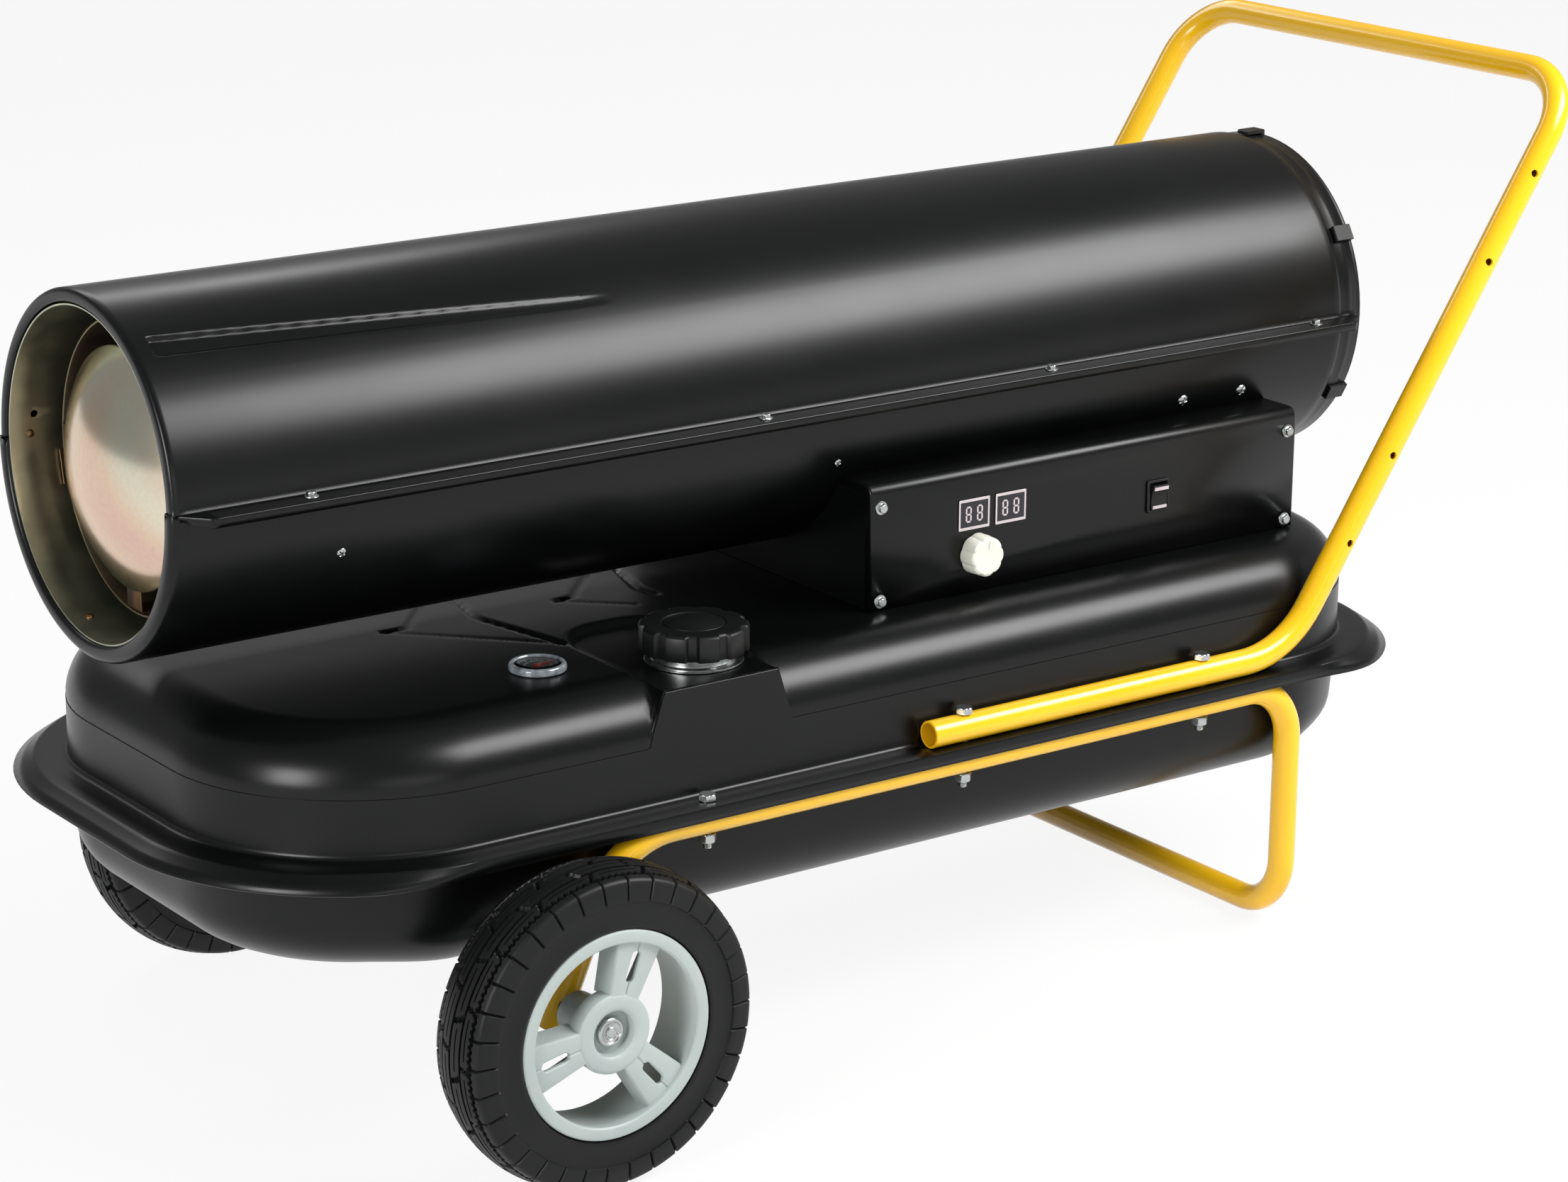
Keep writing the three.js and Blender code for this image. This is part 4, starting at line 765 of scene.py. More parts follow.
# Columns round the tank's plan as (x, y, normal, end): end is 0 along the sides and 1 round the front and rear.
def tankColumns():
    def corner(cx, cy, radius, start):
        made = []
        for k in range(25):
            turn = math.radians(start + 90 * k / 24)
            nx, ny = math.cos(turn), math.sin(turn)
            push = math.copysign(tank["bulge"] * max(0.0, abs(nx) - 0.5), nx)
            made.append((cx + radius * nx + push, cy + radius * ny, nx, ny, smooth(0, 0.55, abs(nx))))
        return made
    w, fr, rr = tank["halfWidth"], tank["frontRadius"], tank["rearRadius"]
    fx, rx = tank["front"] + fr, tank["rear"] - rr
    nearXs = [170, 184] + [190 + 2.25 * k for k in range(101)] + [425 + 22 * k for k in range(17)]
    farXs = [rx - 20 - 27.5 * k for k in range(23) if rx - 20 - 27.5 * k > fx + 8]
    columns = corner(fx, -(w - fr), fr, 180)
    columns += [(x, -w, 0.0, -1.0, 0.0) for x in nearXs]
    columns += corner(rx, -(w - rr), rr, 270)
    columns += [(tank["rear"] + 3, y, 1.0, 0.0, 1.0) for y in range(-72, 85, 12)]
    columns += corner(rx, w - rr, rr, 0)
    columns += [(x, w, 0.0, 1.0, 0.0) for x in farXs]
    columns += corner(fx, w - fr, fr, 90)
    columns += [(tank["front"] - 3, y, -1.0, 0.0, 1.0) for y in range(44, -55, -11)]
    return columns


def tankPoint(column, outSide, outEnd, z):
    x, y, nx, ny, end = column
    out = outSide + (outEnd - outSide) * end
    return (x + nx * out, y + ny * out, z)


def distanceTo(line, x, y):
    best = 1e9
    for (ax, ay), (bx, by) in zip(line, line[1:]):
        dx, dy = bx - ax, by - ay
        t = max(0.0, min(1.0, ((x - ax) * dx + (y - ay) * dy) / (dx * dx + dy * dy)))
        best = min(best, math.hypot(x - ax - t * dx, y - ay - t * dy))
    return best


# How far inside the filler's recess a point lies, negative outside it.
def insidePad(x, y):
    front, rear, back, corner = tank["padFront"], tank["padRear"], tank["padBack"], tank["padCorner"]
    if y <= back - corner:
        return min(x - front, rear - x)
    cx = max(front + corner, min(rear - corner, x))
    return corner - math.hypot(x - cx, y - (back - corner))


def topHeight(x, y, z):
    inside = insidePad(x, y)
    if z > tank["padTop"]:
        z -= (z - tank["padTop"]) * smooth(-3.5, 4.5, inside)
    if 190 < x < 415 and y > -100:
        for depth, half, line in grooves:
            z -= depth * max(0.0, 1 - distanceTo(line, x, y) / half)
    return z


def padHeight(x):
    outside = max(tank["padFront"] - x, x - tank["padRear"], 0.0)
    return tank["padTop"] - 45.0 * outside / tank["padSpread"]


def tankUpper():
    columns = tankColumns()
    seam, fold = tank["seam"], tank["fold"]
    rows = [
        [tankPoint(c, fold, fold + tank["flare"], seam - tank["lip"]) for c in columns],
        [tankPoint(c, fold, fold + tank["flare"] * 0.5, seam - tank["lip"] * 0.5) for c in columns],
        [tankPoint(c, fold, fold + 1.2, seam - 1.4) for c in columns],
        [tankPoint(c, fold - 0.4, fold, seam - 0.4) for c in columns],
        [tankPoint(c, fold - 1.4, fold - 1.4, seam) for c in columns],
        [tankPoint(c, 12, 12, seam) for c in columns],
    ]
    for k in range(5):
        turn = math.radians(90 * k / 4)
        out = 3.6 * (1 - math.sin(turn))
        rows.append([tankPoint(c, out, out, seam + 3.6 * (1 - math.cos(turn))) for c in columns])
    crest = tank["top"] - tank["shoulder"]
    arcs = [0.0, 0.001] + [90 * k / 14 for k in range(1, 15)]
    for i, angle in enumerate(arcs):
        turn = math.radians(angle)
        inset = tank["shoulder"] * (1 - math.cos(turn))
        z = crest + tank["shoulder"] * math.sin(turn)
        if i == 1:
            inset = 0.5
        row = []
        for c in columns:
            x, y, height = tankPoint(c, -inset, -inset, z)
            if y < 0 and c[4] == 0.0:
                lifted = padHeight(x) - (0.5 if i == 0 else 0.0)
                height = max(height, lifted)
            row.append((x, y, topHeight(x, y, height)))
        rows.append(row)
    edge = rows[-1]
    count = 64
    for k in range(1, count + 1):
        row = []
        for x, y, z in edge:
            sx, sy = max(tank["spineFront"], min(tank["spineRear"], x)), tank["spineY"]
            t = k / count
            px, py = x + (sx - x) * t, y + (sy - y) * t
            row.append((px, py, topHeight(px, py, tank["top"])))
        rows.append(row)
    points = [p for row in rows for p in row]
    piece = meshPiece("tank_upper_pressed", points, gridFaces(len(rows), len(columns)), "blackPaint", sharp=42,
                      replaces=["tank_upper"])
    thick = piece.modifiers.new("sheet", "SOLIDIFY")
    thick.thickness = tank["sheet"] * 0.001
    thick.offset = -1
    holes = [(tank["cap"], 26.6), (tank["gauge"], 9.6), (tank["pickup"], 3.3)]
    return cutWith(piece, [cutterPiece(moved(prism(circle(r, 48), 255, 290), Matrix.Translation((x, y, 0))))
                           for (x, y), r in holes])


def tankLower():
    columns = tankColumns()
    columns = [c for i, c in enumerate(columns) if not (190 < c[0] < 412 and c[1] < -150 and i % 4)]
    top, flange = tank["seam"] - tank["sheet"] - tank["gap"], tank["fold"] - tank["sheet"] - tank["gap"]
    rows = [[tankPoint(c, flange, flange, top) for c in columns], [tankPoint(c, 12, 12, top) for c in columns]]
    for k in range(5):
        turn = math.radians(90 * k / 4)
        out = 3.0 * (1 - math.sin(turn)) - 0.3
        rows.append([tankPoint(c, out, out, top - 3.0 * (1 - math.cos(turn))) for c in columns])
    side, end = tank["lowerSide"], tank["lowerEnd"]
    for k in range(4):
        t = k / 4
        rows.append([tankPoint(c, -0.3 - 0.7 * t, -0.3 - 2.7 * t,
                               top - 3.0 + (tank["bottom"] + side - top + 3.0) * t)
                     for c in columns])
    for k in range(13):
        turn = math.radians(90 * k / 12)
        drop = 1 - math.cos(turn)
        rows.append([tankPoint(c, -side * drop - 1, -end * drop - 3,
                               tank["bottom"] + side * (1 - math.sin(turn)))
                     for c in columns])
    edge = rows[-1]
    for k in range(1, 6):
        t = k / 5
        rows.append([(x + (max(190, min(760, x)) - x) * t, y * (1 - t), z) for x, y, z in edge])
    points = [p for row in rows for p in row]
    piece = meshPiece("tank_lower_pressed", points, gridFaces(len(rows), len(columns)), "blackPaint", sharp=42,
                      replaces=["tank_lower"])
    thick = piece.modifiers.new("sheet", "SOLIDIFY")
    thick.thickness = tank["sheet"] * 0.001
    thick.offset = 1
    return piece


def makeTank():
    tankUpper()
    tankLower()
    print("tank made")


# Control case.
case = {
    "front": 480.0, "rear": 842.0, "halfWidth": 134.0, "top": 358.0, "low": 274.6, "corner": 7.5, "sheet": 1.2,
    "rim": 6.0,
    "displays": {"room": 563.2, "set": 593.3}, "displayZ": 327.0, "displaySize": (25.0, 20.5),
    "knob": (566.0, 300.0), "rocker": (719.0, 315.0),
    "screwXs": (488.0, 834.0), "screwZs": (342.5, 280.5),
}


def coverMesh(side):
    reach = math.sqrt((barrel["radius"] + 0.6) ** 2 - (barrel["z"] - case["top"]) ** 2) + 0.3
    r, half, top = case["corner"], case["halfWidth"], case["top"]
    def outline(inset):
        arc = [(half - r + (r - inset) * math.cos(math.radians(10 * k)),
                top - r + (r - inset) * math.sin(math.radians(10 * k)))
               for k in range(10)]
        return [(half - inset, case["low"])] + arc + [(reach, top - inset)]
    sections = []
    edge = 1.4
    for x, inset in ((case["front"] + edge, case["rim"]), (case["front"] + 0.35, case["rim"]),
                     (case["front"], edge),
                     (case["front"] + edge * 0.3, edge * 0.3), (case["front"] + edge, 0.0),
                     (case["rear"] - edge, 0.0),
                     (case["rear"] - edge * 0.3, edge * 0.3), (case["rear"], edge),
                     (case["rear"] - 0.35, case["rim"]),
                     (case["rear"] - edge, case["rim"])):
        sections.append([(x, side * y, z) for y, z in outline(min(inset, 7.0))])
    points = [p for row in sections for p in row]
    return points, gridFaces(len(sections), len(sections[0]), ring=False)


def sideCover(name, side, node):
    piece = meshPiece(name, *coverMesh(side), "blackPaint", sharp=50, replaces=[node])
    thick = piece.modifiers.new("sheet", "SOLIDIFY")
    thick.thickness = case["sheet"] * 0.001
    thick.offset = -1
    return piece


# Rounded rectangle about (x, z), as points.
def roundedRect(x, z, width, height, radius, steps=5):
    points = []
    for sx, sz, start in ((1, 1, 0), (-1, 1, 90), (-1, -1, 180), (1, -1, 270)):
        for k in range(steps + 1):
            turn = math.radians(start + 90 * k / steps)
            points.append((x + sx * (width / 2 - radius) + radius * math.cos(turn),
                           z + sz * (height / 2 - radius) + radius * math.sin(turn)))
    return points


# Seven bars of a figure 8 about (x, z): six-sided, with small gaps between them.
def figureEight(x, z, width, height, thick, front, back):
    parts = []
    def bar(cx, cz, length, upright):
        half, cut = length / 2 - 0.25, thick / 2
        outline = [(-half, 0), (-half + cut, cut), (half - cut, cut), (half, 0), (half - cut, -cut),
                   (-half + cut, -cut)]
        if upright:
            outline = [(v, u) for u, v in outline]
        parts.append(prism([(cx + u, cz + v) for u, v in outline], front, back, "y"))
    for level in (-1, 0, 1):
        bar(x, z + level * height / 2, width, False)
    for level in (-1, 1):
        for hand in (-1, 1):
            bar(x + hand * width / 2, z + level * height / 4, height / 2, True)
    return joined(parts)


def makeDisplay(name, x, node):
    width, height = case["displaySize"]
    face = -case["halfWidth"]
    z = case["displayZ"]
    window = meshPiece(f"{name}_window",
                       *prism(roundedRect(x, z, width, height, 0.6), face - 0.5, face + 12, "y"),
                       "displayWindow", replaces=[node])
    soften(window, 0.2, 1)
    outer = roundedRect(x, z, width, height, 0.6)
    inner = roundedRect(x, z, width - 2.4, height - 3.6, 0.4)
    count = len(outer)
    points = [(u, face - 0.5, v) for u, v in outer] + [(u, face - 0.8, v) for u, v in outer]
    points += [(u, face - 0.8, v) for u, v in inner] + [(u, face - 0.5, v) for u, v in inner]
    meshPiece(f"{name}_frame", points, gridFaces(4, count, True, True), "displaySegments")
    digits = [figureEight(x + shift, z, 3.6, 9.6, 1.1, face - 0.78, face - 0.45) for shift in (-4.6, 4.6)]
    meshPiece(f"{name}_digits", *joined(digits), "displaySegments", sharp=20)


def makeKnob():
    x, z = case["knob"]
    count = 96
    rows = []
    for y, scale, depth in ((-0.6, 0.985, 0.55), (-1.4, 1.0, 0.6), (-10.6, 0.965, 0.6), (-12.0, 0.93, 0.55),
                            (-12.8, 0.86, 0.4),
                            (-13.0, 0.78, 0.2), (-12.7, 0.70, 0.0), (-12.7, 0.0005, 0.0)):
        row = []
        for k in range(count):
            turn = 2 * math.pi * k / count
            lobe = abs(math.cos(4 * turn)) ** 0.6
            radius = (13.3 + depth * (2 * lobe - 1)) * scale
            row.append((radius * math.cos(turn), y, radius * math.sin(turn)))
        rows.append(row)
    knob = ([p for row in rows for p in row], gridFaces(len(rows), count))
    back = lathe([(13.0, -0.6), (3.0, -0.6), (3.0, 9.0), (0.01, 9.0)], count, "y")
    pointer = prism([(-0.6, 6.0), (0.6, 6.0), (0.6, 11.6), (-0.6, 11.6)], -13.4, -12.4, "y")
    turn = Matrix.Rotation(math.radians(8), 4, "Y")
    seat = Matrix.Translation((x, -case["halfWidth"], z))
    meshPiece("thermostat_knob_fluted", *moved(joined([knob, back, moved(pointer, turn)]), seat),
              "ivoryPlastic", "knob",
              sharp=28, replaces=["thermostat_knob"])


def makeRocker():
    x, z = case["rocker"]
    face = -case["halfWidth"]
    outer = roundedRect(x, z, 19, 22, 1.2)
    inner = roundedRect(x, z, 14.6, 18.2, 0.8)
    rows = [(outer, face - 0.3), (outer, face - 1.2), (roundedRect(x, z, 18.2, 21.2, 1.0), face - 1.8),
            (roundedRect(x, z, 15.4, 19.0, 0.9), face - 1.8), (inner, face - 1.2), (inner, face + 9),
            (roundedRect(x, z, 17, 20, 1.0), face + 13),
            (roundedRect(x, z, 17, 20, 1.0), face - 0.3)]
    points = [(u, y, v) for ring, y in rows for u, v in ring]
    meshPiece("rocker_bezel_moulded", points, gridFaces(len(rows), len(outer), True, True), "capPlastic",
              sharp=30,
              replaces=["rocker_bezel"])
    outline = []
    for k in range(13):
        t = -1 + k / 6
        outline.append((-5.2 - 1.4 * t * t, 8.6 * t))
    outline += [(2.0, 7.4), (3.2, 0.0), (2.0, -7.4)]
    paddle = prism(outline, -6.7, 6.7, "x")
    marks = [prism([(-5.9, 5.4), (5.9, 5.4), (5.9, 7.6), (-5.9, 7.6)], -6.75, -6.2, "y"),
             prism([(-5.9, -7.6), (5.9, -7.6), (5.9, -5.6), (-5.9, -5.6)], -6.7, -6.1, "y")]
    seat = Matrix.Translation((x, face + 2.6, z)) @ Matrix.Rotation(math.radians(7), 4, "X")
    body = meshPiece("rocker_paddle", *moved(paddle, seat), "capPlastic", "rocker", replaces=["rocker"])
    soften(body, 0.5)
    meshPiece("rocker_marks", *moved(joined(marks), seat), "displaySegments", "rocker")


# Hex washer-head screw drawn along +z: a round flange and a hex with a dished top.
def hexScrew(size=1.0):
    flange = lathe([(0.1, 0), (4.4, 0), (4.6, 0.3), (4.4, 0.8), (3.2, 1.1), (0.1, 1.1)], 32, "z")
    head = hexSolid(5.8, 2.6, 0.2)
    dish = lathe([(0.05, 2.05), (1.3, 2.1), (2.0, 2.65), (2.25, 2.7), (2.5, 2.55)], 24, "z")
    shank = lathe([(2.0, 0.2), (2.0, -6.5), (0.1, -7.5)], 12, "z")
    part = joined([flange, atPlace(head, 0, 0, 0.9), atPlace(dish, 0, 0, 0.9), shank])
    return moved(part, Matrix.Scale(size, 4))


# Pan head screw along +z with a cross recess.
def panScrew(size=1.0):
    rows = []
    count = 48
    for radius, z in ((3.9, 0.0), (4.0, 0.5), (3.7, 1.3), (2.9, 2.0), (1.9, 2.35), (1.2, 2.45), (0.6, 2.45),
                      (0.02, 2.45)):
        row = []
        for k in range(count):
            turn = 2 * math.pi * k / count
            x, y = radius * math.cos(turn), radius * math.sin(turn)
            inCross = min(abs(x), abs(y)) < 0.42 and max(abs(x), abs(y)) < 2.0
            row.append((x, y, z - (1.1 if inCross else 0.0)))
        rows.append(row)
    shank = lathe([(1.9, 0.1), (1.9, -6.0), (0.1, -7.0)], 12, "z")
    part = joined([([p for row in rows for p in row], gridFaces(len(rows), count)), shank])
    return moved(part, Matrix.Scale(size, 4))


# Turns a part drawn along +z so that it points along the given direction at the given place.
def aimed(part, place, direction, turn=0.0):
    spin = Matrix.Rotation(math.radians(turn), 4, "Z")
    facing = Vector(direction).to_track_quat("Z", "Y").to_matrix().to_4x4()
    return moved(part, Matrix.Translation(place) @ facing @ spin)


def makeScrews():
    parts = []
    for side in (-1, 1):
        for x in case["screwXs"]:
            for z in case["screwZs"]:
                parts.append(aimed(hexScrew(), (x, side * case["halfWidth"], z), (0, side, 0), x * 0.7 + z))
    meshPiece("case_screws", *joined(parts), "zincPlate", sharp=30)
    seam = []
    for side in (-1, 1):
        for x in (86.5, 409.2, 638.2, 871.3):
            place = (x, side * 118.5, barrel["z"] + 0.9)
            seam.append(aimed(hexScrew(0.95), place, (0, 0, 1), x))
    meshPiece("seam_screws", *joined(seam), "zincPlate", sharp=30)
    shell = []
    for side in (-1, 1):
        for x, size in ((113, 0.85), (475, 0.75), (764, 1.1), (816, 1.1)):
            turn = math.radians(21)
            away = Vector((0, side * math.cos(turn), -math.sin(turn)))
            shell.append(aimed(panScrew(size), Vector((x, 0, barrel["z"])) + away * barrel["radius"], away,
                               x * 1.3))
    meshPiece("shell_screws", *joined(shell), "zincPlate", sharp=30)
    print("screws made")


def makeCase():
    near = sideCover("panel_cover_sheet", -1, "panel_cover")
    sideCover("plain_cover_sheet", 1, "plain_cover")
    face = -case["halfWidth"]
    width, height = case["displaySize"]
    cutters = [prism(roundedRect(x, case["displayZ"], width + 0.6, height + 0.6, 0.4), face - 3, face + 6, "y")
               for x in case["displays"].values()]
    cutters.append(prism(roundedRect(*case["rocker"], 17.6, 20.6, 0.6), face - 3, face + 6, "y"))
    knob = [(case["knob"][0] + u, case["knob"][1] + v) for u, v in circle(4.2, 24)]
    cutters.append(prism(knob, face - 3, face + 6, "y"))
    cutWith(near, [cutterPiece(part) for part in cutters])
    for name, x in case["displays"].items():
        makeDisplay(f"{name}_display", x, f"{name}_display")
    makeKnob()
    makeRocker()
    print("case made")


# Outlet: liner, chamber, dome and its straps.
outlet = {
    "linerRadius": 102.1, "linerFront": 1.5, "linerRear": 330.0, "linerSheet": 1.0,
    "chamberRadius": 90.5, "chamberFront": 32.0, "chamberRear": 372.0, "chamberSheet": 1.2,
    "domeRadius": 73.3, "domeFront": 27.0, "domeRise": 26.0, "strapHalf": 9.0, "bracketHalf": 11.0,
    "straps": (90, 0, -90, 180), "brackets": (-12, -98),
}


# Ribbon of sheet: a path of (x, radius) stations, spread across its width and thickened.
def sheetStrip(name, path, half, thick, angle, look, node, body="heater"):
    path = rounded(path, 1.6)
    turn = Matrix.Translation((0, 0, barrel["z"])) @ Matrix.Rotation(math.radians(angle - 90), 4, "X")
    across = [-half, -half + 0.3, half - 0.3, half]
    points = [tuple(turn @ Vector((x, y, r))) for x, r in path for y in across]
    piece = meshPiece(name, points, gridFaces(len(path), len(across), ring=False), look, body, sharp=40,
                      replaces=[node])
    sheet = piece.modifiers.new("sheet", "SOLIDIFY")
    sheet.thickness = thick * 0.001
    sheet.offset = 0
    return soften(piece, 0.25, 1)


# Rounds the corners of a polyline of (u, v) points.
def rounded(path, radius, steps=5):
    made = [path[0]]
    for before, here, after in zip(path, path[1:], path[2:]):
        a, b, c = Vector(before), Vector(here), Vector(after)
        into, out = (a - b), (c - b)
        reach = min(radius, into.length * 0.45, out.length * 0.45)
        start, end = b + into.normalized() * reach, b + out.normalized() * reach
        for k in range(steps + 1):
            t = k / steps
            made.append(tuple(start.lerp(b, t).lerp(b.lerp(end, t), t)))
    made.append(path[-1])
    return made


def domeProfile():
    sphere = (outlet["domeRadius"] ** 2 + outlet["domeRise"] ** 2) / (2 * outlet["domeRise"])
    centre = outlet["domeFront"] - outlet["domeRise"] + sphere
    edge = math.asin(outlet["domeRadius"] / sphere)
    def arc(radius, steps):
        return [(max(0.01, radius * math.sin(edge * k / steps)), centre - radius * math.cos(edge * k / steps))
                for k in range(steps + 1)]
    front, r = outlet["domeFront"], outlet["domeRadius"]
    hem = [(r + 0.7, front + 0.5), (r + 1.0, front + 1.3), (r + 0.7, front + 2.2), (r + 0.1, front + 2.5),
           (r - 0.6, front + 2.2)]
    return arc(sphere, 30) + hem + arc(sphere - 1.2, 16)[::-1]


def makeOutlet():
    at = (0, 0, barrel["z"])
    r, low, high = outlet["linerRadius"], outlet["linerFront"], outlet["linerRear"]
    inner = r - outlet["linerSheet"]
    stations = [low + 0.2, low + 14, low + 15.2] + [40 + 36 * k for k in range(9)] + [high]
    profile = [(inner, low + 0.2)] + [(inner + (0.35 if x > low + 15 else 0.0), x) for x in stations[1:]]
    profile += [(r, high), (r, low), (inner + 0.3, low)]
    liner = meshPiece("outlet_liner_rolled", *lathe(profile, 128, "x", at, True), "galvanised",
                      replaces=["outlet_liner"])
    cutWith(liner, [cutterPiece(aimed(prism(circle(2.4, 20), -8, 8),
                                      (18, 98 * math.cos(0.14), barrel["z"] + 98 * math.sin(0.14)),
                                      (0, math.cos(0.14), math.sin(0.14))))])
    rivets = [aimed(lathe([(0.05, 1.3), (1.6, 1.1), (2.5, 0.5), (2.7, -0.4)], 20, "z"),
                    (x, (inner - 0.2) * math.cos(a), barrel["z"] + (inner - 0.2) * math.sin(a)),
                    (0, -math.cos(a), -math.sin(a)))
              for x, a in ((15, 0.02), (15, math.pi - 0.02), (15, -math.pi / 2 + 0.3))]
    meshPiece("liner_rivets", *joined(rivets), "strapSteel")
    r, low, high = outlet["chamberRadius"], outlet["chamberFront"], outlet["chamberRear"]
    wall = r - outlet["chamberSheet"]
    profile = [(wall, low), (wall + 0.2, low - 0.45), (wall + 0.6, low - 0.6), (r, low - 0.5),
               (r + 0.5, low + 0.2), (r + 0.6, low + 1),
               (r + 0.4, low + 2.2), (r, low + 3)] + [(r, low + 40 * k) for k in range(1, 7)] + [(r, high),
                                                                                                 (wall, high)]
    profile += [(wall, low + 40 * k) for k in range(6, 0, -1)]
    meshPiece("combustion_chamber_rolled", *lathe(profile, 128, "x", at, True), "chamberSteel",
              replaces=["combustion_chamber"])
    meshPiece("flame_dome_spun", *lathe(domeProfile(), 144, "x", at), "domeSteel", replaces=["flame_dome"])
    front = outlet["domeFront"] + 3.6
    reach = math.sqrt((outlet["chamberRadius"] - 1.2) ** 2 - outlet["strapHalf"] ** 2) - 1.4
    for k, angle in enumerate(outlet["straps"], 1):
        path = [(front, outlet["domeRadius"] - 8), (front, reach), (front + 24, reach)]
        sheetStrip(f"dome_strap_{k}_bent", path, outlet["strapHalf"], 1.1, angle, "strapSteel",
                   f"dome_strap_{k}")
    x = outlet["chamberFront"] + 12
    low = outlet["chamberRadius"] + 1.6
    high = math.sqrt((outlet["linerRadius"] - 1) ** 2 - outlet["bracketHalf"] ** 2) - 1.3
    for k, angle in enumerate(outlet["brackets"], 1):
        path = [(x + 12, low), (x + 0.6, low), (x + 0.6, high), (x - 11, high)]
        sheetStrip(f"chamber_bracket_{k}_bent", path, outlet["bracketHalf"], 1.1, angle, "strapSteel",
                   f"chamber_bracket_{k}")
    turn = math.radians(outlet["brackets"][1])
    place = Vector((x - 6, (high - 0.8) * math.cos(turn), barrel["z"] + (high - 0.8) * math.sin(turn)))
    screw = aimed(panScrew(0.8), place, (0, -math.cos(turn), -math.sin(turn)), 20)
    meshPiece("bracket_screw", *screw, "zincPlate")
    print("outlet made")


# Filler, cap and gauge.
filler = {
    "neckRadius": 26.0, "neckWall": 2.0, "neckTop": 289.5, "capRadius": 34.7, "capDip": 31.9, "lobes": 10,
    "capLow": 278.0, "capTop": 294.5, "domeRadius": 19.0, "domeTop": 297.5, "cavity": 29.5, "cavityTop": 292.3,
    "dial": 275.6,
}


def capRow(z, scale, depth, count=240):
    row = []
    for k in range(count):
        turn = 2 * math.pi * k / count
        phase = (k * filler["lobes"] / count) % 1.0
        dip = smooth(0.30, 0.38, phase) * (1 - smooth(0.62, 0.70, phase))
        radius = (filler["capRadius"] - (filler["capRadius"] - filler["capDip"]) * dip * depth) * scale
        row.append((radius * math.cos(turn), radius * math.sin(turn), z))
    return row


def makeCap():
    cx, cy = tank["cap"]
    low, top = filler["capLow"], filler["capTop"]
    count = 240
    rows = [capRow(low, 0.985, 1.0), capRow(low + 0.7, 1.0, 1.0), capRow(top - 2.2, 0.995, 1.0),
            capRow(top - 1.3, 0.985, 1.0),
            capRow(top - 0.6, 0.967, 0.95), capRow(top - 0.15, 0.94, 0.9), capRow(top, 0.90, 0.6)]
    def ring(r, z):
        return [(r * math.cos(2 * math.pi * k / count), r * math.sin(2 * math.pi * k / count),
                 z) for k in range(count)]
    crown = filler["domeRadius"]
    rows += [ring(28.5, top), ring(crown + 1.5, top), ring(crown + 0.9, top - 0.5),
             ring(crown + 0.2, top - 0.5), ring(crown, top - 0.1)]
    for k in range(1, 13):
        t = k / 12
        rows.append(ring(max(0.01, crown * (1 - t)),
                         top - 0.1 + (filler["domeTop"] - top + 0.1) * (1 - (1 - t) ** 2)))
    outside = ([p for row in rows for p in row], gridFaces(len(rows), count))
    inside = [ring(filler["cavity"], low), ring(filler["cavity"], filler["cavityTop"]),
              ring(0.01, filler["cavityTop"])]
    bottom = [rows[0], ring(filler["cavity"], low)]
    parts = [outside, ([p for row in inside for p in row], gridFaces(3, count)),
             ([p for row in bottom for p in row], gridFaces(2, count))]
    seat = Matrix.Translation((cx, cy, 0))
    cap = meshPiece("fuel_cap_moulded", *moved(joined(parts), seat), "capPlastic", "cap", sharp=38,
                    replaces=["fuel_cap"])
    cutWith(cap, [cutterPiece(moved(prism(circle(0.9, 12), top - 2, top + 2),
                                    Matrix.Translation((cx - 21, cy - 12.5, 0))))])
    seal = [(0.05, 289.8), (27.6, 289.8), (28.0, 290.2), (28.0, 291.7), (27.6, 292.1), (0.05, 292.1)]
    meshPiece("cap_seal_ring", *moved(lathe(seal, 64, "z"), seat), "sealRubber", "seal", replaces=["cap_seal"])
    r, wall, neckTop = filler["neckRadius"], filler["neckWall"], filler["neckTop"]
    neck = [(r - wall, 262), (r, 262), (r, 270.3), (30.6, 270.3), (31, 270.6), (31, 271.2), (30.6, 271.5),
            (r + 0.8, 271.5),
            (r, 272.4), (r, 279), (r + 0.9, 279.6), (r + 0.9, 281.2), (r, 281.8), (r, neckTop - 0.8),
            (r - 0.5, neckTop),
            (r - wall + 0.5, neckTop), (r - wall, neckTop - 0.8)]
    meshPiece("filler_neck_pressed", *moved(lathe(neck, 72, "z", closed=True), seat), "zincPlate",
              replaces=["filler_neck"])
    print("cap made")


